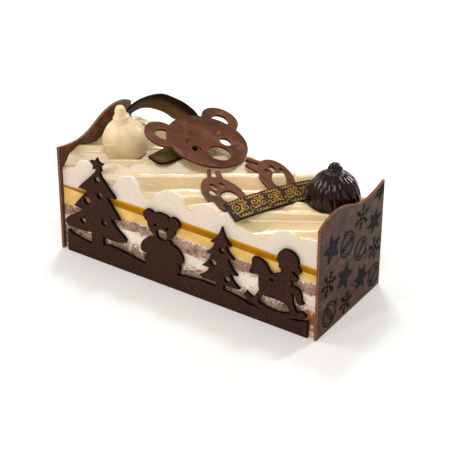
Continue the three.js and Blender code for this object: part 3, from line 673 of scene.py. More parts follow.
def thinned(points):
    """The outline without points that lie on a straight line or on top of each other."""
    kept = [p for i, p in enumerate(points) if (p - points[i - 1]).length > SMALLEST_STEP]
    corners = []
    for i, point in enumerate(kept):
        span = kept[(i + 1) % len(kept)] - kept[i - 1]
        away = abs(span.cross(point - kept[i - 1])) / max(span.length, 1e-9)
        if away > SMALLEST_BEND:
            corners.append(point)
    return corners


def rounded_outline(points):
    """The outline with smooth curves between its corners. A small hole is smooth all round."""
    points = thinned(points)
    count = len(points)
    around = sum((points[i] - points[i - 1]).length for i in range(count))
    all_round = count <= HOLE_POINTS and around < HOLE_ROUND
    tangents = []
    for i in range(count):
        ahead, behind = points[(i + 1) % count] - points[i], points[i] - points[i - 1]
        share = behind.length / ahead.length
        smooth = all_round or ahead.angle(behind) <= CORNER
        tangents.append((ahead * share + behind / share).normalized() if smooth else None)
    result = []
    for i in range(count):
        start, end = points[i], points[(i + 1) % count]
        chord = end - start
        first = tangents[i] or chord.normalized()
        last = tangents[(i + 1) % count] or chord.normalized()
        bent = first.angle(chord) + last.angle(chord) > STRAIGHT
        pieces = max(1, math.ceil(chord.length / OUTLINE_STEP)) if bent else 1
        for k in range(pieces):
            result.append(hermite(k / pieces, start, end, chord.length * first, chord.length * last))
    return result


def plate_basis(normal):
    """Directions across, up and out of a plate."""
    across = normal.cross(UP) if abs(normal.z) < 0.95 else Vector((1, 0, 0))
    across = -(across - normal * across.dot(normal)).normalized()
    return Matrix((across, normal.cross(across), normal)).transposed()


def solid_from_outlines(name, loops, thickness, edge):
    """A plate in the XY plane with its middle at height zero, with rounded edges."""
    drawing = bpy.data.curves.new(name, "CURVE")
    drawing.dimensions = "2D"
    drawing.fill_mode = "BOTH"
    drawing.extrude = thickness / 2 - edge
    drawing.bevel_depth = edge
    drawing.bevel_resolution = 2
    drawing.offset = -edge
    for loop in loops:
        outline = rounded_outline([place.to_2d() for place in loop])
        spline = drawing.splines.new("POLY")
        spline.points.add(len(outline) - 1)
        for point, place in zip(spline.points, outline):
            point.co = (place[0], place[1], 0, 1)
        spline.use_cyclic_u = True
    carrier = bpy.data.objects.new(name, drawing)
    bpy.context.scene.collection.objects.link(carrier)
    graph = bpy.context.evaluated_depsgraph_get()
    mesh = bpy.data.meshes.new_from_object(carrier.evaluated_get(graph))
    bpy.data.objects.remove(carrier)
    bpy.data.curves.remove(drawing)
    mesh.name = name
    turn_outwards(mesh)
    return mesh


def mark_rim(mesh, normal):
    """Keeps on each face how much it belongs to the plate's edge, and shades the two faces flat."""
    shares = [1 - abs(polygon.normal.dot(normal)) for polygon in mesh.polygons]
    shade(mesh, PLATE_SHARP)
    for polygon, share in zip(mesh.polygons, shares):
        polygon.use_smooth = share > 0.001
    for label, low, high in (("rim", 0.02, 0.6), ("wall", 0.8, 1.0)):
        kept = mesh.attributes.new(label, "FLOAT", "FACE")
        kept.data.foreach_set("value", [smoothstep(share, low, high) for share in shares])


def plate(node_name, towards, material, slot, edge=None):
    """A chocolate plate with the outlines of a solid of the frame, smoothly rounded."""
    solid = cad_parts[node_name].data
    normal = main_normal(solid, Vector(towards))
    heights = [vertex.co.dot(normal) for vertex in solid.vertices]
    low, high = min(heights), max(heights)
    basis = plate_basis(normal)
    flat = basis.transposed()
    loops = [[flat @ point for point in loop] for loop in outline_loops(solid, normal)]
    mesh = solid_from_outlines(node_name, loops, high - low, edge or sizes().plate_edge)
    mesh.transform(Matrix.Translation(normal * ((high + low) / 2)) @ basis.to_4x4())
    mark_rim(mesh, normal)
    add_piece(f"{node_name}_piece", mesh, material, slot, node_name)


def bar_stand():
    """The place of the bar: x runs along it, y up its width and z out of its printed face."""
    along = Vector(BAR_ACROSS).normalized()
    out = along.cross(Vector(BAR_UP)).normalized()
    turned = Matrix((along, out.cross(along), out)).transposed().to_4x4()
    return Matrix.Translation(at(*BAR_CORNER)) @ turned


def bar_bow(x):
    """How far the bar arches over its straight line at a distance along it."""
    share = x / BAR_LENGTH
    return BAR_BOW * 4 * share * (1 - share)


def bowed_bar(material):
    """The bar, drawn flat with its cut at the dark bauble and then bent to its bow."""
    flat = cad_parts["gold_bar"].data.copy()
    flat.transform(bar_stand().inverted())
    for vertex in flat.vertices:
        vertex.co.z -= bar_bow(vertex.co.x)
    flat.update()
    heights = [vertex.co.z for vertex in flat.vertices]
    thickness = max(heights) - min(heights)
    mesh = solid_from_outlines("gold_bar", outline_loops(flat, UP), thickness, BAR_EDGE)
    mark_rim(mesh, UP)
    strips = bmesh.new()
    strips.from_mesh(mesh)
    for i in range(1, BAR_STRIPS):
        whole = strips.verts[:] + strips.edges[:] + strips.faces[:]
        bmesh.ops.bisect_plane(
            strips, geom=whole, plane_co=(BAR_LENGTH * i / BAR_STRIPS, 0, 0), plane_no=(1, 0, 0))
    for vertex in strips.verts:
        vertex.co.z += bar_bow(vertex.co.x) - thickness / 2
    strips.to_mesh(mesh)
    strips.free()
    mesh.transform(bar_stand())
    bpy.data.meshes.remove(flat)
    add_piece("gold_bar_piece", mesh, material, "printed_bar", "gold_bar")


# ---------------------------------------------------------------- layers

# All in millimetres.
HALF_LENGTH = 122.4
HALF_DEPTH = 46.5
LAYER_STEP = 0.8
LAYER_SEAM = 0.04    # how far each layer reaches into its neighbours
UPPER_EDGE = 0.6     # the share of a layer's height from which the painted light along its upper edge starts


def stations(step):
    """Places along the log from its left end to its right, about `step` apart."""
    count = round(2 * HALF_LENGTH / step)
    return [HALF_LENGTH * (2 * i / count - 1) for i in range(count + 1)]


def layer_edges(node_name):
    """The heights of the lower and upper edge of a layer along the cake, read off its solid."""
    lows, highs = {}, {}
    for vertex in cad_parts[node_name].data.vertices:
        x, z = round(vertex.co.x / MM, 1), vertex.co.z / MM
        lows[x] = min(z, lows.get(x, z))
        highs[x] = max(z, highs.get(x, z))
    return smooth_curve(sorted(lows.items())), smooth_curve(sorted(highs.items()))


def layer_piece(node_name, material, slot, relief):
    """A cut layer. `relief(x, z, side)` gives how far its long faces stand out, and how much of a pit."""
    bottom, top = layer_edges(node_name)
    rows = max(4, round((top(0) - bottom(0)) / LAYER_STEP))
    rings = []
    for x in stations(LAYER_STEP):
        low, high = bottom(x), top(x)
        ring = []
        for side in (-1, 1):
            face = []
            for row in range(rows + 1):
                share = row / rows
                z = low + (high - low) * share
                z += LAYER_SEAM * (1 if row == rows else -1 if row == 0 and low > 1 else 0)
                out, pit = relief(x, z, side)
                place = at(x, side * (HALF_DEPTH + out), z)
                face.append((place, pit, smoothstep(share, UPPER_EDGE, 1.0), abs(2 * share - 1) ** 2))
            ring += face if side < 0 else face[::-1]
        rings.append(ring)
    loft_piece(node_name, rings, ("pit", "upper", "edge"), 60, material, slot)


def crumb_relief(depth, scale, share):
    """Uneven crumb with holes torn by the knife."""
    def relief(x, z, side):
        broad = noise_at(x, 20 * side, z, 3.2 * scale)
        fine = noise_at(x, 35 * side, z, 1.1 * scale)
        hole = clamp((noise_at(x, 50 * side, z, 1.7 * scale) - share) * 4)
        return depth * (0.5 * broad + 0.4 * fine - 1.3 * hole), hole
    return relief


def cream_relief(depth):
    """A smooth cut face that waves a little, with a few faint drag lines."""
    def relief(x, z, side):
        return depth * (noise_at(x, 9 * side, z, 14) + 0.4 * noise_at(x, 9 * side, z * 4, 6)), 0.0
    return relief


# ---------------------------------------------------------------- mousse

# The section across the ridges, which run diagonally over the log: distance along the front edge, height.
RIDGES = [
    (-290, 84), (-262, 85), (-248, 86.9), (-240, 85), (-228, 88.6), (-213, 85.5), (-203, 82.5),
    (-190, 81), (-175, 83), (-163, 85.2), (-154.4, 86.8), (-143.8, 85.5), (-137, 84.6),
    (-131.8, 81), (-124, 75.8), (-117, 78.6), (-110, 82), (-104.6, 88.6), (-98.8, 90),
    (-94.2, 88.1), (-83, 81.5), (-72.9, 76.6), (-65, 86.5), (-59, 90.3), (-51.8, 90.2),
    (-48.2, 86.5), (-39.3, 77.7), (-34.7, 77.5), (-27.3, 83.2), (-17.2, 88.1), (-6.4, 86),
    (3.7, 78.7), (10.4, 85), (19, 88.2), (30.2, 84), (36, 86), (40, 84.6), (45, 79.5),
    (62.4, 75.2), (74.3, 76), (86, 84.8), (94.4, 87.4), (105.1, 84.5), (110.3, 86),
    (116.6, 87.2), (126, 85),
]
RIDGE_RUN = 1.51             # the ridges move this far along the log for each millimetre across it
RIDGE_X, RIDGE_Y = 0.83, 0.55   # the way in which the ripples on the ridges are stretched
WANDER, WANDER_LENGTH = 1.2, 17
SWELL, SWELL_RATE, SWELL_WIDTH = 0.5, 0.11, 14
BACK_FALL_TO = 75            # the crests fall towards this height at the back
BACK_FALL_SHARE = 0.67
BACK_FALL_FROM, BACK_FALL_SOONER = 36, 9   # where the fall starts, and how much sooner at the right
# Where crests sink near a long face: distance along the front edge, drop, width, side, reach.
CREST_DIPS = [
    (-60, 3.2, 8, -1, 5), (-24, 1.2, 8, -1, 5), (13, 1, 8, -1, 5), (34, 2.3, 6, -1, 5), (-143, 3.6, 8, 1, 14)]
RIPPLES = ((0.5, 0, 9), (0.3, 5, 4))  # depth, layer of noise, width
CALM = 0.75                  # how much weaker the ripples are beside the long faces
CALM_FROM, CALM_TO = HALF_DEPTH - 9, HALF_DEPTH - 1
FURROW, FURROW_DEPTH = 9, 9  # half the width that tells a furrow from a crest, and a furrow's depth
# The dish under the dark bauble: its middle, floor, radius, slope and the softness of its brim.
DISH_AT, DISH_FLOOR, DISH_RADIUS, DISH_SLOPE, DISH_BRIM = (98.4, 15.7), 83.6, 18.5, 0.62, 2.0
PRESSING_NODES = ("paw_front", "paw_back", "gold_bar", "bauble_white", "bauble_dark", "chocolate_curl")
PRESSED_GAP = 0.12           # how far the mousse stays under what presses into it
PROBE_FROM = 60              # the height from which the decorations are looked for
MOUSSE_STEP = 0.75
WALL_DEPTHS = (0.35, 0.9, 1.5, 2.2, 3.0, 4.0, 5.5, 7.5, 10, 13, 16)   # under the upper edge
WALL_FOOT = 0.8              # the lowest points of the wall share this height over the layer below
DRIP_SHORTEST, DRIP_SPREAD = 0.15, 2.4


def crest_dip(x0, y):
    """How far a crest sinks where it nears one of the long faces."""
    return sum((1 - smoothstep(HALF_DEPTH - side * y, 0, reach)) * drop * bell(x0 - place, width)
               for place, drop, width, side, reach in CREST_DIPS)


def dished(x, y, height):
    """The height where the dark bauble has pressed the mousse into a shallow dish with a soft brim."""
    away = math.hypot(x - DISH_AT[0], y - DISH_AT[1])
    limit = DISH_FLOOR + DISH_SLOPE * max(0.0, away - DISH_RADIUS)
    share = clamp(0.5 + 0.5 * (limit - height) / DISH_BRIM)
    return limit + (height - limit) * share - DISH_BRIM * share * (1 - share)


def ridge_surface():
    """The height of the mousse and how much of a furrow a place is, by place on the cake."""
    ridge = smooth_curve(RIDGES)

    def surface(x, y):
        x0 = x - RIDGE_RUN * (y + HALF_DEPTH) - WANDER * math.sin(y / WANDER_LENGTH)
        height = ridge(x0)
        fall_from = BACK_FALL_FROM - BACK_FALL_SOONER * clamp((x0 + 57) / 40)
        fall = BACK_FALL_SHARE * smoothstep(y, fall_from, HALF_DEPTH) * smoothstep(x0, -135, -110)
        height -= max(0.0, height - BACK_FALL_TO) * fall + crest_dip(x0, y)
        height += SWELL * math.sin(SWELL_RATE * x0 + y / SWELL_WIDTH)
        along, across = RIDGE_X * x + RIDGE_Y * y, RIDGE_Y * x - RIDGE_X * y
        calm = 1 - CALM * smoothstep(abs(y), CALM_FROM, CALM_TO)
        height += calm * sum(
            depth * noise_at(along * 0.5, across, layer, width) for depth, layer, width in RIPPLES)
        bowl = (ridge(x0 - FURROW) + ridge(x0 + FURROW)) / 2 - ridge(x0)
        return dished(x, y, height), clamp(0.5 + bowl / FURROW_DEPTH)

    return surface


def decoration_trees():
    """Search trees of the solids that press into the mousse."""
    trees = []
    for name in PRESSING_NODES:
        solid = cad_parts[name].data
        trees.append(BVHTree.FromPolygons(
            [vertex.co for vertex in solid.vertices], [tuple(p.vertices) for p in solid.polygons]))
    return trees


def underside(trees, place):
    """The lowest point of the decorations over a place, in millimetres, or no limit."""
    origin = Vector((place.x, place.y, PROBE_FROM * MM))
    hits = [tree.ray_cast(origin, UP)[0] for tree in trees]
    return min((hit.z / MM for hit in hits if hit is not None), default=math.inf)


def mousse_wall(x, side, floor, lip, edge, pool, crest):
    """A line of points down a long face of the mousse, with the glaze that has run over its edge."""
    drip = DRIP_SHORTEST + DRIP_SPREAD * clamp(0.7 * noise_at(x, 40 * side, 0, 5) + 1.6 * (pool - 0.55))
    wall = [(HALF_DEPTH - 0.18 * lip, edge - 0.28 * lip, 0.0)]
    for depth in WALL_DEPTHS:
        z = edge - 0.5 * lip - depth
        if z > floor + WALL_FOOT:
            out = 0.1 * noise_at(x, 3 * side, z, 12)
            wall.append((HALF_DEPTH + out, z, smoothstep(depth, drip, drip + 0.5)))
        else:
            wall.append((HALF_DEPTH, floor + WALL_FOOT * (1 - min(1, depth / 40)), 1.0))
    wall.append((HALF_DEPTH, floor, 1.0))
    return [(at(x, side * y, z), cut, pool, crest) for y, z, cut in wall]


def mousse_piece(material):
    """The glazed mousse, with its decorations pressed into it."""
    trees, surface = decoration_trees(), ridge_surface()
    bottom = layer_edges("fruit_gel")[1]
    lip = sizes().glaze_lip / MM
    inner = HALF_DEPTH - lip
    rows = round(2 * inner / MOUSSE_STEP)
    rings = []
    for x in stations(MOUSSE_STEP):
        top = []
        for y in (inner * (2 * k / rows - 1) for k in range(rows + 1)):
            height, pool = surface(x, y)
            height = min(height, underside(trees, at(x, y, 0)) - PRESSED_GAP)
            # Where the crests meet the cut face: the lip mark for the near-white lip, partly a painted
            # highlight
            crest = smoothstep(abs(y), inner - 1.1, inner - 0.1) * (1 - smoothstep(pool, 0.45, 0.65))
            top.append((y, height, pool, crest))
        front, back = (mousse_wall(x, side, bottom(x) + LAYER_SEAM, lip, *top[end][1:])
                       for side, end in ((-1, 0), (1, -1)))
        rings.append(front[::-1] + [(at(x, y, z), 0.0, pool, crest) for y, z, pool, crest in top] + back)
    loft_piece("mousse_top", rings, ("cut", "pool", "lip"), 75, material, "glazed_mousse")


# ---------------------------------------------------------------- printed ornaments

# Strokes are lists of flat points in millimetres, with a width and whether they close on themselves.
PLAQUE_LINE = 1.35           # width of a line of print on the plaque
# Top edge of the right plaque seen from outside: distance to the right of its middle, height.
PLAQUE_EDGE = [
    (-49.8, 98.4), (-42, 102.2), (-36, 103.8), (-29, 104.5), (-23, 104.4), (-11, 102.1), (-4, 99.3),
    (7, 94.8), (16, 92.6), (24, 92), (35, 93), (49.8, 96.2),
]
PLAQUE_HALF, PLAQUE_FOOT, PLAQUE_TOP = 48.6, 1.2, 0.8   # the print's limits sideways, below and above
PLAQUE_DASHES = (            # place, turn and number of dashes
    (-24, 57, 0.5, 8), (1, 24, -0.6, 9), (23, 66, -0.9, 7),
    (-46, 29, 0.3, 6), (23, 36, 0.7, 6), (-20, 86, 0.9, 6))
DASH_PITCH = 1.9
EDGE_DOTS, DOT_COLUMN, DOT_FROM, DOT_PITCH, DOT_RADIUS, DOT_LINE = 23, -47.4, 5, 4.2, 0.4, 0.55
STAR_WAIST = 0.45            # the radius between a star's points, as a share of its own
SCROLL_TURNS, SCROLL_POINTS, SWAG_POINTS = 1.4, 25, 19
BAR_REPEATS, BAR_PITCH = 5, 15.2
BAR_SEED = 12
BAR_PRINT_X, BAR_PRINT_Y = (0.8, 78.4), (-19.7, -0.8)   # the print's limits along and across the bar
BAUBLE_CLEAR = 22.6 * MM     # the bar's print stops this far from the axis of the dark bauble


def stroke_sides(points, width, closed):
    """The two sides of a line of the given width through points."""
    left, right = [], []
    count = len(points)
    for i, point in enumerate(points):
        before = points[i - 1] if closed or i > 0 else point
        after = points[(i + 1) % count] if closed or i < count - 1 else point
        run = (after - before).normalized()
        side = Vector((-run.y, run.x)) * width / 2
        left.append(point + side)
        right.append(point - side)
    return left, right


def kept_runs(points, inside):
    """The stretches of a line that lie where print is kept."""
    runs = [[]]
    for point in points:
        if inside(point):
            runs[-1].append(point)
        elif runs[-1]:
            runs.append([])
    return runs


def raised_strokes(name, strokes, to_world, inside, lift, material, slot):
    """Thin raised lines on a plate. `to_world` places flat points, `inside` says where print is kept."""
    vertices, faces = [], []
    for points, width, closed in strokes:
        for part in kept_runs(points, inside):
            count, first = len(part), len(vertices)
            if count < 2:
                continue
            whole = closed and count == len(points)
            for a, b in zip(*stroke_sides(part, width, whole)):
                vertices += [to_world(a, lift), to_world(b, lift), to_world(b, -lift), to_world(a, -lift)]
            for k in range(count if whole else count - 1):
                here, there = first + 4 * k, first + 4 * ((k + 1) % count)
                for j in range(4):
                    faces.append((here + j, here + (j + 1) % 4, there + (j + 1) % 4, there + j))
            if not whole:
                last = first + 4 * (count - 1)
                faces.append((first, first + 3, first + 2, first + 1))
                faces.append((last, last + 1, last + 2, last + 3))
    mesh = bpy.data.meshes.new(name)
    mesh.from_pydata([tuple(v) for v in vertices], [], faces)
    turn_outwards(mesh, weld=False)
    add_piece(name, mesh, material, slot)


def heading(angle, reach=1.0):
    return Vector((math.cos(angle), math.sin(angle))) * reach


def ring_points(x, y, radius, count, squash=1.0, turn=0.0):
    turned = Matrix.Rotation(turn, 2)
    points = []
    for i in range(count):
        way = heading(FULL_TURN * i / count, radius)
        points.append(Vector((x, y)) + turned @ Vector((way.x, way.y * squash)))
    return points


def line_points(start, end, step=1.0):
    count = max(2, round((end - start).length / step) + 1)
    return [start + (end - start) * i / (count - 1) for i in range(count)]


def star_points(x, y, radius, tips, turn, step=1.0):
    """The outline of a star, with points along its sides."""
    radii = (radius, STAR_WAIST * radius)
    corners = [Vector((x, y)) + heading(turn + math.pi * i / tips, radii[i % 2]) for i in range(2 * tips)]
    points = []
    for i, corner in enumerate(corners):
        points += line_points(corner, corners[(i + 1) % len(corners)], step)[:-1]
    return points


def snowflake(x, y, radius, turn, width):
    """Six arms with two pairs of side branches each."""
    strokes = []
    middle = Vector((x, y))
    for arm in range(6):
        angle = turn + arm * math.pi / 3
        way = heading(angle, radius)
        strokes.append((line_points(middle + way * 0.12, middle + way), width, False))
        for reach, size in ((0.45, 0.3), (0.72, 0.24)):
            fork = middle + way * reach
            for side in (-1, 1):
                tip = fork + heading(angle + side * math.pi / 3.4, radius * size)
                strokes.append((line_points(fork, tip), width * 0.8, False))
    strokes.append((ring_points(x, y, radius * 0.2, 18), width * 0.8, True))
    return strokes


def outlined_star(x, y, radius, tips, turn, width):
    return [(star_points(x, y, radius * share, tips, turn), width * thick, True)
            for share, thick in ((1.0, 1.0), (0.64, 0.9), (0.26, 0.9))]


def outlined_bauble(x, y, radius, turn, width):
    """A round bauble with bands and a cap, drawn in double lines."""
    cap = Vector((x, y)) + heading(turn, radius * 1.14)
    strokes = [(ring_points(x, y, radius, 44), width, True),
               (ring_points(x, y, radius * 0.76, 36), width * 0.7, True)]
    for squash in (0.34, 0.12):
        strokes.append((ring_points(x, y, radius * 0.76, 36, squash, turn + math.pi / 2), width * 0.6, True))
    strokes.append((ring_points(cap.x, cap.y, radius * 0.17, 14), width * 0.8, True))
    return strokes


def dashes(x, y, turn, count, pitch, width, seed):
    """A row of short strokes of uneven length."""
    draw = random.Random(seed)
    way, side = heading(turn), heading(turn + math.pi / 2)
    strokes = []
    for i in range(count):
        start = Vector((x, y)) + way * pitch * i
        rise = draw.uniform(0.5, 1.0) * pitch
        end = start + side * rise + way * draw.uniform(-0.3, 0.3) * pitch
        strokes.append((line_points(start, end, 0.5), width, False))
    return strokes


def scroll(x, y, radius, turn, width, hand):
    """A spiral, wound one way or the other by `hand`."""
    points = []
    for i in range(SCROLL_POINTS + 1):
        share = i / SCROLL_POINTS
        angle = turn + hand * SCROLL_TURNS * FULL_TURN * share
        points.append(Vector((x, y)) + heading(angle, radius * (0.12 + 0.88 * share)))
    return [(points, width, False)]


def garland(x, y, span, height, loops, width):
    """A row of small loops."""
    count = 12 * loops
    points = []
    for i in range(count + 1):
        way = heading(FULL_TURN * loops * i / count, height)
        points.append(Vector((x + span * i / count - 0.45 * way.y, y + 0.5 * way.x)))
    return [(points, width, False)]


def swag(x, y, span, rise, turn, width, waves):
    """A wavy line."""
    way, side = heading(turn, span), heading(turn + math.pi / 2, rise)
    shares = [i / SWAG_POINTS for i in range(SWAG_POINTS + 1)]
    points = [Vector((x, y)) + way * share + side * math.sin(FULL_TURN * waves * share) for share in shares]
    return [(points, width, False)]


def plaque_strokes():
    """Stars, baubles, snowflakes, rows of dashes and a dotted edge, well apart from each other."""
    strokes = []
    for motif, x, y, *values, weight in (
            (outlined_star, -31, 74, 12.5, 5, 0.5, 1.5), (outlined_bauble, -7, 66, 10.5, 1.9, 1.5),
            (snowflake, 15, 80, 11.5, 0.3, 1.4), (outlined_star, 36, 66, 10.5, 6, 0.2, 1.4),
            (snowflake, -34, 44, 11.5, 0.1, 1.5), (outlined_star, -9, 38, 12, 5, 1.2, 1.6),
            (outlined_bauble, 15, 51, 9.5, -0.7, 1.4), (snowflake, 38, 40, 10.5, 0.6, 1.4),
            (outlined_bauble, -31, 15, 10.5, 0.6, 1.5), (snowflake, -6, 12, 10, 0.2, 1.4),
            (outlined_star, 18, 23, 11, 6, 0.9, 1.5), (outlined_bauble, 40, 14, 9.5, 2.4, 1.4),
            (outlined_star, 43, 90, 9, 5, 0.9, 1.3)):
        strokes += motif(x, y, *values, PLAQUE_LINE * weight)
    for seed, (x, y, turn, count) in enumerate(PLAQUE_DASHES, 1):
        strokes += dashes(x, y, turn, count, DASH_PITCH, PLAQUE_LINE * 0.7, seed)
    dots = [ring_points(DOT_COLUMN, DOT_FROM + DOT_PITCH * k, DOT_RADIUS, 8) for k in range(EDGE_DOTS)]
    return strokes + [(dot, DOT_LINE, True) for dot in dots]


def bar_strokes():
    """Scrolls, loops, stars and dashes, the same five times over but for small differences."""
    draw = random.Random(BAR_SEED)
    strokes = []
    for k in range(BAR_REPEATS):
        x = 3.5 + BAR_PITCH * k
        hand = 1 if k % 2 else -1
        strokes += garland(x, -2.4 + draw.uniform(-0.3, 0.3), 11.5, 1.8, 5, 0.5)
        strokes += garland(x + 2, -17.8 + draw.uniform(-0.4, 0.4), 10.5, 2.0, 4, 0.5)
        strokes += scroll(x + 3.4, -8.2, 3.6, draw.uniform(0, 6), 0.66, hand)
        strokes += swag(x - 1.5, -12.6, 8, 1.2, -0.2, 0.6, 1.5)
        strokes += scroll(x + 9.8, -11.6, 3.2, draw.uniform(0, 6), 0.6, -hand)
        strokes += [(star_points(x + 10.8, -6.2, 2.3, 5, draw.uniform(0, 1), 0.8), 0.5, True)]
        strokes += swag(x + 6.6, -4.6, 9.5, 0.9, -1.35, 0.6, 1.0)
        strokes += dashes(x + 1, -15.4, 0.1, 4, 1.6, 0.5, 20 + k)
        strokes += dashes(x + 12.6, -13.6, -1.2, 3, 1.5, 0.5, 40 + k)
    return strokes


# ---------------------------------------------------------------- turned and bent pieces

# Profiles are [radius, height] points in millimetres over the foot of the piece. A ball is its radius, its
# height over and under its middle, where that middle is, and the angles in degrees where it starts and ends.
FOOT = [(0.02, 0.0), (9, 0.0)]
WHITE_BAUBLE = (-86, -6, 84)
WHITE_RADIUS = 18.25
WHITE_BALL = (WHITE_RADIUS, WHITE_RADIUS, 35, 12, -20.05, 64)
WHITE_NECK_FROM = 29
WHITE_NECK = [
    (7.9, 28.9), (7.2, 29.9), (6.85, 30.9), (7.05, 31.5), (6.85, 32.4), (6.1, 33.4), (5.2, 34.6), (4.6, 36.8),
    (4.2, 39.2), (3.4, 41.0), (2.2, 41.9), (1.0, 42.15), (0.02, 42.2),
]
WHITE_PANEL = FULL_TURN / 6
WHITE_SEAM = math.radians(41.5)
BELT_HEIGHT, BELT_SLANT, BELT_WAY = 15, 3.5, math.radians(190)
WHITE_LEAN = Matrix.Rotation(math.radians(7), 3, Vector((0.5515, -0.834, 0)))
DARK_BAUBLE = (97.1, 18.4, 74.4)
DARK_RADIUS = 21.2
DARK_BALL = (DARK_RADIUS, 22.8, 22.8, 13.6, -36.5, 68)
DARK_KNOB_FROM = 36.4
DARK_KNOB = [
    (7.2, 35.4), (6.4, 36.3), (6.0, 37.2), (6.1, 38.1), (5.6, 39.4), (4.8, 40.7), (3.8, 41.8), (2.4, 42.7),
    (1.0, 43.1), (0.02, 43.1),
]
DARK_TWIST, DARK_TWIST_TO = math.radians(22), 36.2
BALL_STEPS = 44
WHITE_SEGMENTS, DARK_SEGMENTS = 240, 272
# The two edges of the curl, from its tip in front of the head to its foot behind it.
CURL = [
    ((-57.3, -15.7, 91.2), (-57.9, -14.6, 91.2)),
    ((-50.4, -17.9, 91.2), (-57.8, -12.5, 91.2)),
    ((-43.9, -19.2, 91), (-57, -9, 91.1)),
    ((-38, -14.5, 91), (-56.4, -5, 91.2)),
    ((-34.5, -3.8, 91), (-55.5, 3, 91.5)),
    ((-31, 16, 92), (-54, 20, 94)),
    ((-35, 32, 97), (-56, 33, 99)),
    ((-48.7, 43.2, 106.9), (-61, 42.6, 98.5)),
    ((-58.8, 40.5, 115.6), (-73.4, 44.2, 96.6)),
    ((-69.8, 38, 119.6), (-81.6, 44, 99.6)),
    ((-78.6, 36, 121.2), (-89.2, 43, 101.2)),
    ((-86.7, 33, 119.4), (-95.7, 42, 101.5)),
    ((-94.6, 31, 115.5), (-101.3, 41, 100.9)),
    ((-102.5, 28.5, 109.8), (-107.4, 40, 98.5)),
    ((-108.1, 24, 102.7), (-115.1, 37.5, 92)),
    ((-110, 19.5, 93.5), (-115.6, 33, 86.5)),
]
CURL_THICKNESS = 1.8
CURL_STEPS = 150
CURL_STRIPS = 8


def turned_rings(profile, segments, shape, lean, foot):
    """Rings of a body turned about its axis. `shape(angle, z)` gives a radius factor, a twist and a mark."""
    rings = []
    for radius, z in profile:
        ring = []
        for k in range(segments):
            angle = FULL_TURN * k / segments
            factor, twist, mark = shape(angle, z)
            reach = max(radius * factor, 0.01)
            offset = lean @ Vector((reach * math.cos(angle + twist), reach * math.sin(angle + twist), z))
            ring.append((at(*(a + b for a, b in zip(foot, offset))), mark))
        rings.append(ring)
    return rings


def finely(points, step):
    """A smooth line through [radius, height] points, about `step` apart."""
    result = []
    count = len(points)
    for i in range(count - 1):
        p0, p1, p2, p3 = (Vector(points[max(0, min(count - 1, i + d))]) for d in (-1, 0, 1, 2))
        pieces = max(1, math.ceil((p2 - p1).length / step))
        result += [tuple(hermite(k / pieces, p1, p2, (p2 - p0) / 2, (p3 - p1) / 2)) for k in range(pieces)]
    return result + [points[-1]]


def ball_profile(radius, rise, sink, centre, foot, neck):
    """The round part of a bauble, from its foot angle to its neck angle in degrees."""
    points = []
    for i in range(BALL_STEPS + 1):
        angle = math.radians(foot + (neck - foot) * i / BALL_STEPS)
        points.append((radius * math.cos(angle), centre + (rise if angle > 0 else sink) * math.sin(angle)))
    return points


def white_shape(angle, z):
    """Six moulded panels with a raised strip, a pale painted highlight line at each seam and a slanting belt.
    """
    if z > WHITE_NECK_FROM:
        lumps = 0.015 + 0.07 * smoothstep(z, 33, 36)
        return 1 + lumps * noise_at(4 * math.cos(angle), 4 * math.sin(angle), z, 3), WHITE_SEAM, 0.0
    share = abs((angle % WHITE_PANEL) - WHITE_PANEL / 2) / (WHITE_PANEL / 2)
    from_seam = (1 - share) * WHITE_PANEL / 2 * WHITE_RADIUS
    height = BELT_HEIGHT - BELT_SLANT * math.cos(angle + WHITE_SEAM - BELT_WAY)
    above = smoothstep(z, height - 0.6, height + 0.6) * (1 - smoothstep(z, 26.5, WHITE_NECK_FROM))
    strip = bell(from_seam, 1.6, 4) * above
    faint = 1 - smoothstep(math.cos(angle + WHITE_SEAM), -0.3, 0.5)
    belt = bell(z - height, 0.7) * faint
    line = bell(from_seam - 1.3, 0.5) * above
    flat = 0.985 + 0.015 * share ** 2
    # The mark is the painted highlight along the strip's edges and the belt, strongest on the side where
    # faint is 1
    return flat + 0.014 * strip + 0.012 * belt, WHITE_SEAM, max(line, belt) * (0.35 + 0.65 * faint)


def dark_shape(angle, z):
    """Twisted ribs of uneven width, and a creased knob."""
    if z > DARK_KNOB_FROM:
        folds = 0.09 * math.sin(5 * angle + 0.8 * z) * smoothstep(z, 37, 39)
        lump = 0.16 * noise_at(6 * math.cos(angle), 6 * math.sin(angle), z, 2.2)
        return 0.95 + lump + folds, 0.0, 0.3
    drift = 0.05 * math.sin(3 * angle + 1.0) + 0.03 * math.sin(5 * angle)
    share = abs(((sizes().ribs * (angle + drift) / FULL_TURN + 0.5) % 1.0) - 0.5) * 2
    groove = 1 - math.sqrt(max(0.0, 1 - share ** 2.6 * 0.96))
    amount = sizes().rib_depth / MM / DARK_RADIUS * (0.35 + 1.0 * smoothstep(z, 4, 26))
    tuck = 0.04 * (1 - smoothstep(z, 1, 12))
    # The third value marks the grooves for painted shade
    return (1 - tuck) * (1 - amount * groove), DARK_TWIST * (1 - z / DARK_TWIST_TO), groove


def path_through(points, count):
    """Places and directions on a smooth path through points."""
    gaps = [0.0]
    for a, b in zip(points, points[1:]):
        gaps.append(gaps[-1] + (Vector(b) - Vector(a)).length ** 0.5)
    axes = [smooth_curve([(gap, point[k]) for gap, point in zip(gaps, points)]) for k in range(3)]
    places = [Vector([axis(gaps[-1] * i / count) for axis in axes]) for i in range(count + 1)]
    ways = [(places[min(count, i + 1)] - places[max(0, i - 1)]).normalized() for i in range(count + 1)]
    return places, ways


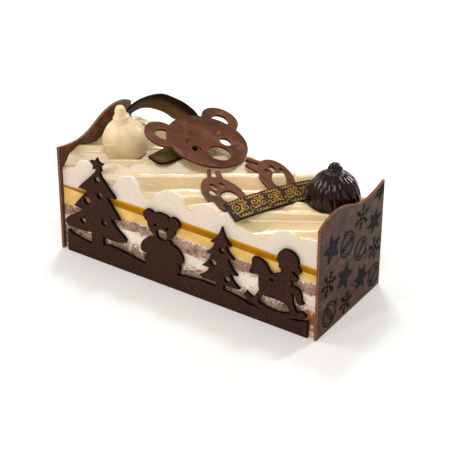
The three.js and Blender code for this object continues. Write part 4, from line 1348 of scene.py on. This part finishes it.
def curl_rings(edge):
    """Sections of the curl with rounded edges, marked where the olive face shows."""
    outer, ways = path_through([place[0] for place in CURL], CURL_STEPS)
    inner, _ = path_through([place[1] for place in CURL], CURL_STEPS)
    half = CURL_THICKNESS / 2
    rings = []
    for step, (a, b, way) in enumerate(zip(outer, inner, ways)):
        share = step / CURL_STEPS
        front = 1 - smoothstep(share, 0.2, 0.27)
        middle = smoothstep(share, 0.36, 0.56) * (1 - smoothstep(share, 0.72, 0.92))
        across = (b - a).normalized()
        normal = across.cross(way).normalized()
        wide = (b - a).length
        strips = [wide * k / CURL_STRIPS for k in range(1, CURL_STRIPS)]
        corners = [
            (0, edge - half), (edge, -half), *((place, -half) for place in strips), (wide - edge, -half),
            (wide, edge - half), (wide, half - edge), (wide - edge, half),
            *((place, half) for place in reversed(strips)), (edge, half), (0, half - edge)]
        ring = []
        for distance, offset in corners:
            olive = middle * smoothstep(distance / wide, 0.22, 0.5) if offset < 0 else 0.0
            place = at(*(a + across * distance + normal * offset))
            ring.append((place, max(olive, front if edge < distance < wide - edge else 0.0)))
        rings.append(ring)
    return rings


# ---------------------------------------------------------------- operators

MILK, DARK = "milk_chocolate", "dark_chocolate"   # slot names passed for more than one piece
HEAD_EDGE = 0.4 * MM
HEAD_AT = (-40.16, 21.13, 108.89)
HEAD_ACROSS = (0.3504, 0.9342, -0.0672)
HEAD_UP = (-0.8902, 0.3544, 0.2863)
BROW_LIFT = 0.08 * MM
BROWS = (                    # name, colour, and the place and radius of each ring painted where the head has its scraped brows: painted shade in the left brow, a painted highlight on the right
    ("left_brow", "#35180f", ((-12.9, -14.2, 1.5), (-14.6, -15.8, 1.2))),
    ("right_brow", "#b0623f", ((18.2, -15, 1.7),)),
)


class YULE_OT_effects(bpy.types.Operator):
    """Builds the shader effects that the materials share"""

    bl_idname = "yule.effects"
    bl_label = "Shared effects"

    def execute(self, context):
        build_grain()
        build_specks()
        build_smears()
        return {"FINISHED"}


class YULE_OT_layers(bpy.types.Operator):
    """Builds the five cut layers under the mousse"""

    bl_idname = "yule.layers"
    bl_label = "Cut layers"

    def execute(self, context):
        crumb = sizes().crumb / MM
        base = nut_sponge("Base crumb", 13 * MM, 0.62)
        white = smooth_cream("White cream", colours().cream, 0.45, 0.72)
        yellow = smooth_cream("Yellow cream", colours().yellow, 0.38)
        layer_piece("base_crumble", base, "crumble", crumb_relief(1.5 * crumb, 1.2, 0.2))
        layer_piece("cream_lower", white, "white_cream", cream_relief(0.2))
        layer_piece("nut_sponge", nut_sponge(), "nut_sponge", crumb_relief(crumb, 1.0, 0.28))
        layer_piece("cream_yellow", yellow, "yellow_cream", cream_relief(0.2))
        layer_piece("fruit_gel", fruit_gel(), "fruit_gel", cream_relief(0.15))
        return {"FINISHED"}


class YULE_OT_mousse(bpy.types.Operator):
    """Builds the ridged mousse with its vanilla glaze"""

    bl_idname = "yule.mousse"
    bl_label = "Glazed mousse"

    def execute(self, context):
        mousse_piece(glazed_mousse())
        return {"FINISHED"}


class YULE_OT_plaques(bpy.types.Operator):
    """Builds the two waved end plaques and the print on the right one"""

    bl_idname = "yule.plaques"
    bl_label = "End plaques"

    def execute(self, context):
        tone = colours().plaque
        # One chocolate for both plaques, as lit and shaded copies: painted light on the left one, painted
        # shade on the right one
        left = milk_chocolate("Left plaque", darker(tone, 1.4), 0.12, 0.3, 0.35, PLAQUE_CUT)
        right = milk_chocolate("Right plaque", darker(tone, 0.86), 0.065, 0.3, 0.28, PLAQUE_CUT)
        plate("plaque_left", (-1, 0, 0), left, MILK)
        plate("plaque_right", (1, 0, 0), right, MILK)
        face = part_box("plaque_right")[1][0]
        wave = smooth_curve(PLAQUE_EDGE)
        raised_strokes(
            "plaque_print", plaque_strokes(),
            lambda p, lift: Vector((face + lift, p[0] * MM + CAKE_Y, p[1] * MM)),
            lambda p: abs(p[0]) < PLAQUE_HALF and PLAQUE_FOOT < p[1] < wave(p[0]) - PLAQUE_TOP,
            sizes().print_lift, print_and_painted_light("Plaque print", colours().print, 0.03, 0.0, 0.3), MILK)
        return {"FINISHED"}


class YULE_OT_fences(bpy.types.Operator):
    """Builds the two fences of cut-out figures"""

    bl_idname = "yule.fences"
    bl_label = "Fences"

    def execute(self, context):
        chocolate = dark_chocolate()
        plate("fence_front", (0, -1, 0), chocolate, DARK)
        plate("fence_back", (0, 1, 0), chocolate, DARK)
        return {"FINISHED"}


class YULE_OT_bear(bpy.types.Operator):
    """Builds the bear's head and its two paws"""

    bl_idname = "yule.bear"
    bl_label = "Bear head and paws"

    def execute(self, context):
        milk = colours().milk
        head = milk_chocolate("Head chocolate", darker(milk, 0.67), 0.05, 0.42, 0.26, HEAD_CUT)
        paws = milk_chocolate("Paw chocolate", darker(milk, 0.78), 0.07, 0.42, 0.2, HEAD_CUT)
        for name, chocolate in (("bear_head", head), ("paw_front", paws), ("paw_back", paws)):
            plate(name, (0, 0, 1), chocolate, MILK, HEAD_EDGE)
        across = Vector(HEAD_ACROSS).normalized()
        out = across.cross(Vector(HEAD_UP)).normalized()
        up = out.cross(across)
        corner = at(*HEAD_AT)
        # The brows are rings of painted shade on the left and a painted highlight on the right
        for name, code, places in BROWS:
            raised_strokes(
                name, [(ring_points(x, y, wide, 18, 0.62, 0.5), 0.6, True) for x, y, wide in places],
                lambda p, lift: corner + across * p[0] * MM + up * p[1] * MM + out * lift, lambda p: True,
                BROW_LIFT, print_and_painted_light(f"Painted {name}", srgb(code), 0.05, 0.0, 0.5), MILK)
        return {"FINISHED"}


class YULE_OT_bar(bpy.types.Operator):
    """Builds the dark bar and its gold ornament"""

    bl_idname = "yule.bar"
    bl_label = "Printed bar"

    def execute(self, context):
        bowed_bar(printed_bar())
        stand, bauble = bar_stand(), at(*DARK_BAUBLE)

        def to_world(p, lift):
            return stand @ Vector((p[0] * MM, p[1] * MM, lift + bar_bow(p[0] * MM)))

        def inside(p):
            away = to_world(p, 0) - bauble
            printed = BAR_PRINT_X[0] < p[0] < BAR_PRINT_X[1] and BAR_PRINT_Y[0] < p[1] < BAR_PRINT_Y[1]
            return printed and math.hypot(away.x, away.y) > BAUBLE_CLEAR

        raised_strokes("bar_print", bar_strokes(), to_world, inside, sizes().print_lift,
                      print_and_painted_light("Gold print", colours().gold, 0.3, 0.4, 0.4), "printed_bar")
        return {"FINISHED"}


class YULE_OT_bauble_white(bpy.types.Operator):
    """Builds the white chocolate bauble"""

    bl_idname = "yule.bauble_white"
    bl_label = "White bauble"

    def execute(self, context):
        ball = ball_profile(*WHITE_BALL)
        rings = turned_rings(
            FOOT + ball + finely(WHITE_NECK, 0.5), WHITE_SEGMENTS, white_shape, WHITE_LEAN, WHITE_BAUBLE)
        loft_piece("bauble_white", rings, ("seam",), 50, white_chocolate(), "white_chocolate")
        return {"FINISHED"}


class YULE_OT_bauble_dark(bpy.types.Operator):
    """Builds the ribbed dark chocolate bauble"""

    bl_idname = "yule.bauble_dark"
    bl_label = "Dark bauble"

    def execute(self, context):
        ball = ball_profile(*DARK_BALL)
        rings = turned_rings(
            FOOT + ball + finely(DARK_KNOB, 0.35), DARK_SEGMENTS, dark_shape, Matrix.Identity(3), DARK_BAUBLE)
        loft_piece("bauble_dark", rings, ("groove",), 60, glossy_chocolate(), "glossy_dark_chocolate")
        return {"FINISHED"}


class YULE_OT_curl(bpy.types.Operator):
    """Builds the chocolate curl"""

    bl_idname = "yule.curl"
    bl_label = "Chocolate curl"

    def execute(self, context):
        rings = curl_rings(sizes().curl_edge / MM)
        loft_piece("chocolate_curl", rings, ("inner",), 50, curl_chocolate(), "curl_chocolate")
        return {"FINISHED"}


# ---------------------------------------------------------------- stage

FLOOR_HALF = 6               # in metres
FLOOR_GAP = 0.2 * MM         # how far the floor lies under the cake
WORLD_TINT, WORLD_STRENGTH = (1.0, 0.97, 0.925, 1), 0.36
LAMPS = (                    # name, place in metres, width, height, power in watts, tint
    ("Key", (-0.78, -0.3, 0.6), 0.45, 0.45, 3.4, (1.0, 0.97, 0.93)),
    ("Front", (0.4, -0.66, 1.05), 0.5, 0.5, 4.2, (1, 1, 1)),
    ("Top", (0.0, 0.3, 1.3), 0.9, 0.9, 0.6, (1, 1, 1)),
    ("Fill", (1.0, -0.3, 0.45), 0.6, 0.6, 0.8, (0.96, 0.98, 1.0)),
    ("Crest glint", (-0.31, 0.47, 1.1), 0.22, 0.22, 4.8, (1, 1, 1)),
    ("Right glint", (0.4, 0.95, 0.5), 0.12, 0.4, 6.0, (1, 1, 1)),
    ("Front glint", (-0.16, -0.9, 0.64), 0.06, 0.26, 1.3, (1, 1, 1)),
)
LAMP_TARGET = Vector((0, 0, 0.06))
CAMERA_PLACE = (617.05, -922.12, 702.01)   # in millimetres
CAMERA_RIGHT = (0.834, 0.5515, 0.0)
CAMERA_BACK = (0.4733, -0.7159, 0.5133)
CAMERA_ROLL = math.radians(0.171)
FOCAL_PIXELS = 1577.85
PICTURE_PIXELS = 450
SENSOR = 36.0


def lamp(name, place, width, height, power, tint):
    """A soft rectangular lamp that shines at the middle of the cake."""
    light = bpy.data.lights.new(name, "AREA")
    light.shape = "RECTANGLE"
    light.size, light.size_y = width, height
    light.energy = power
    light.color = tint
    stand = bpy.data.objects.new(name, light)
    stand.location = place
    stand.rotation_mode = "QUATERNION"
    stand.rotation_quaternion = (LAMP_TARGET - Vector(place)).to_track_quat("-Z", "Y")
    bpy.context.scene.collection.objects.link(stand)


def pale_floor():
    """A wide pale floor just under the cake."""
    mesh = bpy.data.meshes.new("floor")
    corners = ((-1, -1), (1, -1), (1, 1), (-1, 1))
    mesh.from_pydata([(x * FLOOR_HALF, y * FLOOR_HALF, 0) for x, y in corners], [], [(0, 1, 2, 3)])
    floor = bpy.data.objects.new("floor", mesh)
    floor.location.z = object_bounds()[0][2] - FLOOR_GAP
    bpy.context.scene.collection.objects.link(floor)
    look, tone = Finish("Floor", Roughness=0.6, Specular_IOR_Level=0.2), colours().floor
    grain = look.grain(fine=120, broad=6, stretch=1.0)
    mesh.materials.append(look.done(look.blend(grain["Mottle"], darker(tone, 0.98), tone)))
    floor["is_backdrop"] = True


def studio_world():
    """Faint warm light from all round."""
    world = bpy.data.worlds.new("Studio")
    world.use_nodes = True
    background = world.node_tree.nodes["Background"].inputs
    background["Color"].default_value = WORLD_TINT
    background["Strength"].default_value = WORLD_STRENGTH
    bpy.context.scene.world = world


def camera():
    """The camera, in front of the cake's right end and above it."""
    lens = bpy.data.cameras.new("Camera")
    lens.sensor_width = SENSOR
    lens.lens = FOCAL_PIXELS / PICTURE_PIXELS * SENSOR
    lens.clip_start, lens.clip_end = 0.05, 30
    viewer = bpy.data.objects.new("Camera", lens)
    back, right = Vector(CAMERA_BACK).normalized(), Vector(CAMERA_RIGHT).normalized()
    turned = Matrix((right, back.cross(right), back)).transposed().to_4x4()
    level = Matrix.Translation(at(*CAMERA_PLACE)) @ turned
    viewer.matrix_world = level @ Matrix.Rotation(CAMERA_ROLL, 4, "Z")
    bpy.context.scene.collection.objects.link(viewer)
    bpy.context.scene.camera = viewer


class YULE_OT_stage(bpy.types.Operator):
    """Builds the pale floor, the soft studio lights and the camera"""

    bl_idname = "yule.stage"
    bl_label = "Stage"

    def execute(self, context):
        context.scene.view_settings.view_transform = "Standard"
        pale_floor()
        studio_world()
        for values in LAMPS:
            lamp(*values)
        camera()
        return {"FINISHED"}


class YULE_PT_panel(bpy.types.Panel):
    """Lists the operators and settings of the cake."""

    bl_idname = "YULE_PT_panel"
    bl_label = "Yule log cake"
    bl_space_type = "VIEW_3D"
    bl_region_type = "UI"
    bl_category = "Yule log"

    def draw(self, context):
        for operator in OPERATORS:
            self.layout.operator(operator.bl_idname)
        for settings in (context.scene.yule_log_colours, context.scene.yule_log_sizes):
            box = self.layout.box()
            for name in settings.__annotations__:
                box.prop(settings, name)


OPERATORS = (
    YULE_OT_effects, YULE_OT_stage, YULE_OT_layers, YULE_OT_mousse, YULE_OT_plaques, YULE_OT_fences,
    YULE_OT_bear, YULE_OT_bar, YULE_OT_bauble_white, YULE_OT_bauble_dark, YULE_OT_curl,
)
CLASSES = (YuleLogColours, YuleLogSizes, *OPERATORS, YULE_PT_panel)


def register():
    for item in CLASSES:
        bpy.utils.register_class(item)
    bpy.types.Scene.yule_log_colours = bpy.props.PointerProperty(type=YuleLogColours)
    bpy.types.Scene.yule_log_sizes = bpy.props.PointerProperty(type=YuleLogSizes)


def unregister():
    del bpy.types.Scene.yule_log_sizes
    del bpy.types.Scene.yule_log_colours
    for item in reversed(CLASSES):
        bpy.utils.unregister_class(item)


def main():
    register()
    bpy.ops.yule.effects()
    bpy.ops.yule.stage()
    bpy.ops.yule.layers()
    bpy.ops.yule.mousse()
    bpy.ops.yule.plaques()
    bpy.ops.yule.fences()
    bpy.ops.yule.bear()
    bpy.ops.yule.bar()
    bpy.ops.yule.bauble_white()
    bpy.ops.yule.bauble_dark()
    bpy.ops.yule.curl()


if __name__ == "__main__":
    main()
